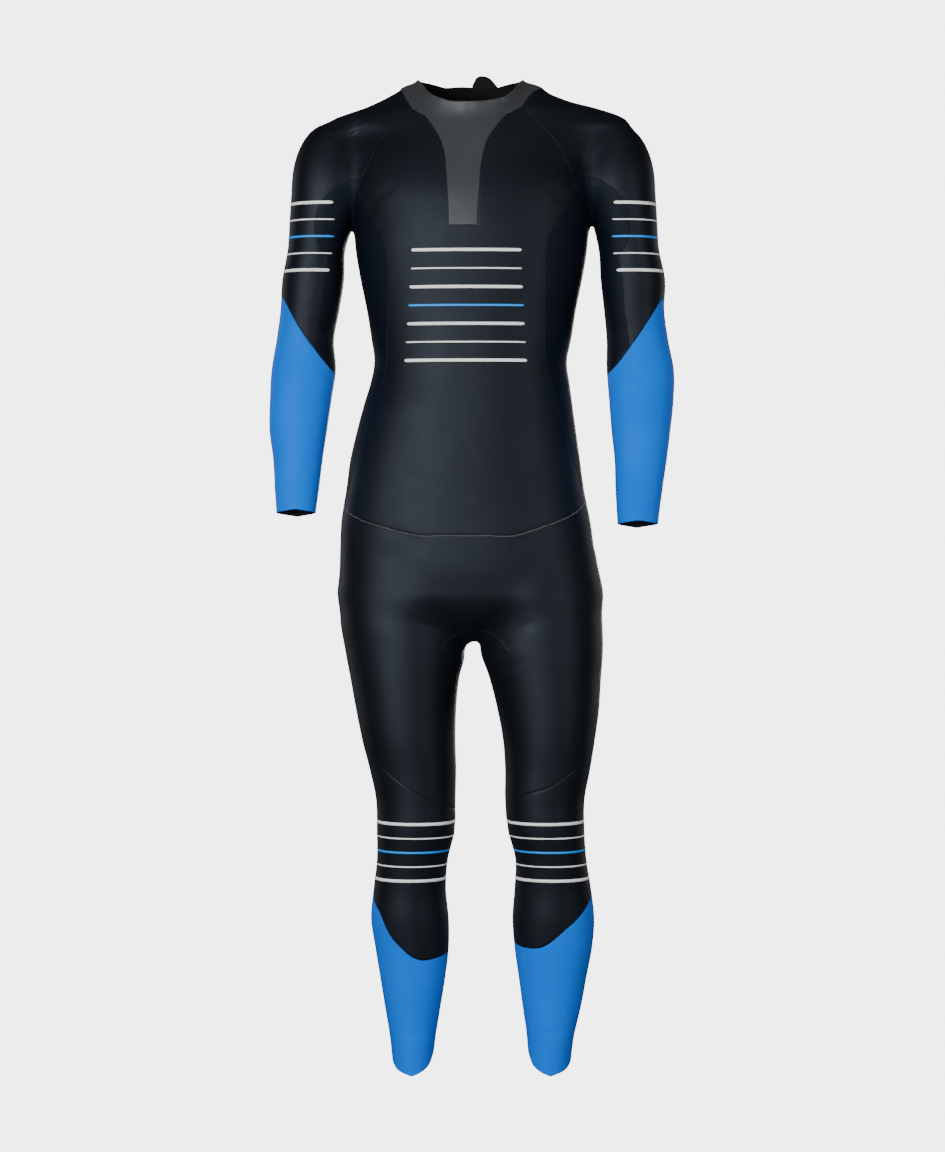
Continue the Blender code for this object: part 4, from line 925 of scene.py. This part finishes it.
thread = {"thread": [], "thread_light": []}
for (low, high), chain in seam_paths():
    if len(chain) < SHORTEST_CHAIN:
        continue
    line, way = spaced(points[chain], STITCH_PITCH)
    index = np.linspace(0, len(chain) - 1, len(line))
    up = unit(np.stack([np.interp(index, np.arange(len(chain)), out[chain, k]) for k in range(3)], axis=1))
    slant = unit(way * STITCH_SLANT + np.cross(up, way) * (1 - STITCH_SLANT))
    light = frozenset((panel_names[low], panel_names[high])) in LIGHT_SEAMS
    thread["thread_light" if light else "thread"].append((line - up * STITCH_SINK[light], slant, up))
for name, parts in thread.items():
    centres, ways, ups = (np.concatenate([p[k] for p in parts]) for k in range(3))
    verts, shape = rods(centres, ways, ups, STITCH_LENGTH / 2, STITCH_HALF_WIDTH, STITCH_HEIGHT)
    obj = add_mesh(f"seam_{name}", verts, shape, [finishes[name]], sharp=0)
    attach(obj, "suit")


# --- print: plain level hoops

# Height, width and ink, and the x where the hoops on the chest end
CHEST_HOOPS = ((-212, 4.4, "white"), (-238, 2.2, "white"), (-264, 4.4, "white"), (-290, 3.2, "blue"),
               (-316, 4.4, "white"), (-342, 2.2, "white"), (-368, 4.4, "white"))
CHEST_EDGES = (-106, 96)
# Height, how far round in degrees it reaches from the outer side, width and ink
SLEEVE_HOOPS = ((-140, 104, 4.4, "white"), (-164, 112, 2.2, "white"), (-188, 119, 3.2, "blue"),
                (-212, 122, 2.2, "white"), (-236, 120, 4.4, "white"))
KNEE_HOOPS = ((-1034, 4.4, "white"), (-1055, 2.2, "white"), (-1076, 3.2, "blue"), (-1097, 2.2, "white"),
              (-1118, 4.4, "white"))
HOOP_STEP = 2.2
HOOP_LEAST_STEPS = 12
PRINT_LIFT = 0.1
PRINT_HEIGHT = 0.16

# A strip's outline across, side and height, and how it narrows at its ends: in steps along it
BAND_OUTLINE = ((-1, -0.5), (-0.92, 1), (0, 1.1), (0.92, 1), (1, -0.5))
BAND_START, BAND_TAPER = 0.15, 1.4


def hoop_rows():
    """Limb, height, first and last angle, width and ink of every hoop."""
    rows = []
    for height, width, ink in CHEST_HOOPS:
        s = section_at(TRUNK, height)
        ends = [math.degrees(math.asin((x - s["x"][0]) / s["half"][0])) for x in CHEST_EDGES]
        rows.append(("trunk", height, *ends, width, ink))
    for height, reach, width, ink in SLEEVE_HOOPS:
        for limb, side in (("left_arm", -90), ("right_arm", 90)):
            rows.append((limb, height, side - reach, side + reach, width, ink))
    for height, width, ink in KNEE_HOOPS:
        rows += [(limb, height, -180, 180, width, ink) for limb in ("left_leg", "right_leg")]
    return rows


def band(path, up, width, lift, height):
    """A low strip on a path: five points across, its edges down on the cloth."""
    side = unit(np.cross(up, np.gradient(path, axis=0)))
    reach = np.minimum(np.arange(len(path)), np.arange(len(path))[::-1])
    taper = np.sqrt(np.clip((reach + BAND_START) / BAND_TAPER, 0, 1))[:, None]
    rows = [path + side * (x * width / 2) * taper + up * (lift + h * height) for x, h in BAND_OUTLINE]
    n = len(BAND_OUTLINE)
    shape = [[r * n + c, r * n + c + 1, (r + 1) * n + c + 1, (r + 1) * n + c]
             for r in range(len(path) - 1) for c in range(n - 1)]
    return np.stack(rows, axis=1).reshape(-1, 3), shape


def joined(parts):
    """Several meshes as one."""
    verts, shape, count = [], [], 0
    for v, f in parts:
        verts.append(v)
        shape += [[k + count for k in face] for face in f]
        count += len(v)
    return np.concatenate(verts), shape


inks = {"white": [], "blue": []}
for limb, height, first, last, width, ink in hoop_rows():
    girth = math.radians(abs(last - first)) * float(section_at(LIMBS[limb], height)["half"][0])
    path = on_limb(limb, np.linspace(first, last, max(int(girth / HOOP_STEP), HOOP_LEAST_STEPS)), height)
    up = skin_normals(path)
    inks[ink].append(band(pressed(path, up, lines), up, width, PRINT_LIFT, PRINT_HEIGHT))
for ink, parts in inks.items():
    obj = add_mesh(f"print_{ink}", *joined(parts), [finishes[f"print_{ink}"]], sharp=0)
    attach(obj, "suit")


# --- closure flap behind the neck

FLAP_WELD_REACH = 1.3
FLAP_THICKNESS = 2.3
# Its outer faces look away, by this cosine at least, from a middle that is this far in front of it
FLAP_FACING = 0.6
FLAP_MIDDLE = (0, 90)

flap_points, flap_faces = node_mesh("neck_flap")
away = flap_points[flap_faces].mean(axis=1)[:, :2] - flap_points[:, :2].mean(axis=0) + np.array(FLAP_MIDDLE)
flat = face_normals(flap_points, flap_faces)
facing = (flat[:, :2] * away).sum(1) / np.linalg.norm(flat, axis=1) / np.linalg.norm(away, axis=1)
flap_points, flap_faces = compact(flap_points, flap_faces[facing > FLAP_FACING])
flap_faces = weld(flap_points, FLAP_WELD_REACH)[flap_faces]
flap_faces = flap_faces[(flap_faces != np.roll(flap_faces, 1, axis=1)).all(axis=1)]
flap_points, flap_faces = compact(flap_points, flap_faces)
flap_points = sunk(flap_points, flap_points[:, 0], FLAP_SINK)
flap_piece = np.zeros(len(flap_faces), int)
flap_points, flap_faces, _, coarse, flap_cuts = refined(flap_points, flap_faces, flap_piece, round_middles,
                                                       lambda p: p)
verts, shape, slots = shell(flap_points, vertex_normals(flap_points, flap_faces), flap_faces,
                            flap_points[:len(coarse[0])], coarse[1], flap_cuts, FLAP_THICKNESS)
flap = add_mesh("neck_flap_cloth", verts, shape, [finishes["neoprene"], finishes["lining"]], slots)
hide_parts("neck_flap")
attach(flap, "suit")


# --- zip

TOOTH_PITCH = 1.7
TOOTH_HALF_LENGTH = 1.75
TOOTH_HALF_WIDTH = 0.62
TOOTH_HEIGHT = 1.1
TOOTH_LAP = 0.35
TOOTH_LIFT = 0.25
TOOTH_SHARP = 50
CHAIN_BASE = 0.45
CHAIN_BASE_WIDTH = 6.2
CHAIN_LIFT = 0.1
CHAIN_END = 1.5
BEAD_WIDTH = 1.5
BEAD_HEIGHT = 0.5
# The chain's path is found straight back from the trunk's middle, and above this level from its middle there
CHAIN_REFERENCE = -73
BACKWARDS = (0, 100, 0)

chain_low, chain_high = (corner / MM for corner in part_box("zip_chain"))
heights = np.arange(chain_high.z - CHAIN_END, chain_low.z + CHAIN_END, -TOOTH_PITCH)
reference = section_at(TRUNK, np.minimum(heights, CHAIN_REFERENCE))
start = np.stack([reference["x"], reference["y"], heights], axis=1)
middle = cast(start, start + np.array(BACKWARDS))
up = skin_normals(middle)
middle = pressed(middle, up, lines)
way = unit(np.gradient(middle, axis=0))
side = unit(np.cross(up, way))
parts = []
for sign in (-1, 1):
    centres = middle + side * (sign * (TOOTH_HALF_LENGTH - TOOTH_LAP))
    centres += way * (TOOTH_PITCH / 4 * sign) + up * (CHAIN_BASE + TOOTH_LIFT)
    parts.append(rods(centres, side, up, TOOTH_HALF_LENGTH, TOOTH_HALF_WIDTH, TOOTH_HEIGHT))
    edge = middle + side * (sign * (CHAIN_BASE_WIDTH - BEAD_WIDTH) / 2)
    parts.append(band(edge, up, BEAD_WIDTH, CHAIN_BASE, BEAD_HEIGHT))
parts.append(band(middle, up, CHAIN_BASE_WIDTH, CHAIN_LIFT, CHAIN_BASE))
chain = add_mesh("zip_teeth", *joined(parts), [finishes["zip_teeth"]], sharp=TOOTH_SHARP)
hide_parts("zip_chain")
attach(chain, "suit")


# Edges flatter than the first angle go, those sharper than the others are rounded and are shaded sharp
FLAT_ANGLE, BEVEL_ANGLE, HARD_SHARP = 1, 30, 35
BEVEL_SEGMENTS = 3


def polished(name, piece_name, body, finish, bevel):
    """A hard piece on its solid's form with its edges rounded over."""
    points, faces = node_mesh(name)
    obj = add_mesh(piece_name, points, faces, [finishes[finish]], sharp=0)
    shape = bmesh.new()
    shape.from_mesh(obj.data)
    bmesh.ops.dissolve_limit(shape, angle_limit=math.radians(FLAT_ANGLE), verts=shape.verts,
                             edges=shape.edges)
    shape.to_mesh(obj.data)
    shape.free()
    rounding = obj.modifiers.new("round", "BEVEL")
    rounding.width, rounding.segments, rounding.limit_method = bevel * MM, BEVEL_SEGMENTS, "ANGLE"
    rounding.angle_limit = math.radians(BEVEL_ANGLE)
    rounding.use_clamp_overlap = True
    obj.data.shade_smooth()
    obj.data.set_sharp_from_angle(angle=math.radians(HARD_SHARP))
    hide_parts(name)
    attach(obj, body)


polished("zip_slider", "zip_slider_body", "suit", "zip_metal", 0.5)
polished("zip_pull", "zip_pull_tab", "pull_tab", "pull_plastic", 0.45)


# --- stage, light and camera

FRAME_HEIGHT = 1.676
CAMERA_DISTANCE = 4.7
CAMERA_HEIGHT = -0.55
AIM = (0.0036, 0.0, -0.678)
FLOOR = -1.53
SENSOR = 36.0
DOME_RADIUS = 14.0
FLOOR_DEGREES = 5
STAGE_COLOUR = (0.93, 0.935, 0.94, 1)
STAGE_GLOW = 5.0
WORLD_COLOUR = (0.95, 0.96, 0.98, 1)
WORLD_GLOW = 0.06
VIEW_END = 100


def plain(name):
    """Even pale light with no shading, so that floor and dome run into each other."""
    made = bpy.data.materials.new(name)
    made.use_nodes = True
    fill(made.node_tree, made.node_tree.nodes["Principled BSDF"], {
        "Base Color": (0, 0, 0, 1), "Specular IOR Level": 0.0, "Emission Color": STAGE_COLOUR,
        "Emission Strength": STAGE_GLOW,
    })
    return made


def make_stage():
    """A pale floor under a pale dome; neither lights the suit or is mirrored in it."""
    floor = bpy.data.meshes.new("floor")
    ring = [(DOME_RADIUS * math.sin(math.radians(a)), DOME_RADIUS * math.cos(math.radians(a)), FLOOR)
            for a in range(0, 360, FLOOR_DEGREES)]
    floor.from_pydata(ring, [], [list(range(len(ring)))[::-1]])
    floor.materials.append(plain("floor"))
    shape = bmesh.new()
    bmesh.ops.create_icosphere(shape, subdivisions=5, radius=DOME_RADIUS)
    dome = bpy.data.meshes.new("dome")
    shape.to_mesh(dome)
    shape.free()
    dome.materials.append(plain("dome"))
    dome.shade_smooth()
    for mesh in (floor, dome):
        obj = placed(mesh.name, mesh)
        obj.visible_diffuse = obj.visible_glossy = obj.visible_shadow = False


# Place, aim, width, height, power and colour of each soft light
LIGHTS = (
    ((-1.4, -5.0, -0.3), (0, 0, -0.5), 2.4, 1.5, 205, (1, 1, 1)),
    ((-2.7, -3.3, -0.35), (0, 0, -0.6), 1.0, 1.8, 72, (1.0, 0.995, 0.99)),
    ((2.8, -3.0, -0.35), (0, 0, -0.6), 0.9, 1.8, 50, (0.98, 0.99, 1.0)),
    ((0.0, -1.6, 3.2), (0, 0.1, -0.6), 2.0, 1.2, 16, (1, 1, 1)),
    ((-2.8, 2.6, -0.3), (0, 0, -0.7), 1.0, 2.2, 14, (1, 1, 1)),
    ((2.8, 2.6, -0.3), (0, 0, -0.7), 1.0, 2.2, 14, (1, 1, 1)),
    ((0.8, 5.2, -0.4), (0, 0, -0.6), 2.4, 1.6, 190, (1, 1, 1)),
)


def aimed(obj, place, aim):
    obj.location = place
    obj.rotation_euler = (Vector(aim) - Vector(place)).to_track_quat("-Z", "Y").to_euler()


def make_lights():
    for k, (place, aim, width, height, power, colour) in enumerate(LIGHTS):
        lamp = bpy.data.lights.new(f"soft_{k}", "AREA")
        lamp.shape = "RECTANGLE"
        lamp.size, lamp.size_y = width, height
        lamp.energy, lamp.color = power, colour
        aimed(placed(f"soft_{k}", lamp), place, aim)
    world = bpy.data.worlds.new("studio")
    world.use_nodes = True
    fill(world.node_tree, world.node_tree.nodes["Background"],
         {"Color": WORLD_COLOUR, "Strength": WORLD_GLOW})
    bpy.context.scene.world = world


def make_camera():
    lens = bpy.data.cameras.new("camera")
    lens.sensor_width = SENSOR
    lens.lens = SENSOR * CAMERA_DISTANCE / FRAME_HEIGHT
    lens.clip_end = VIEW_END
    bpy.context.scene.camera = placed("camera", lens)
    aimed(bpy.context.scene.camera, (AIM[0], -CAMERA_DISTANCE, CAMERA_HEIGHT), AIM)


make_stage()
make_lights()
make_camera()
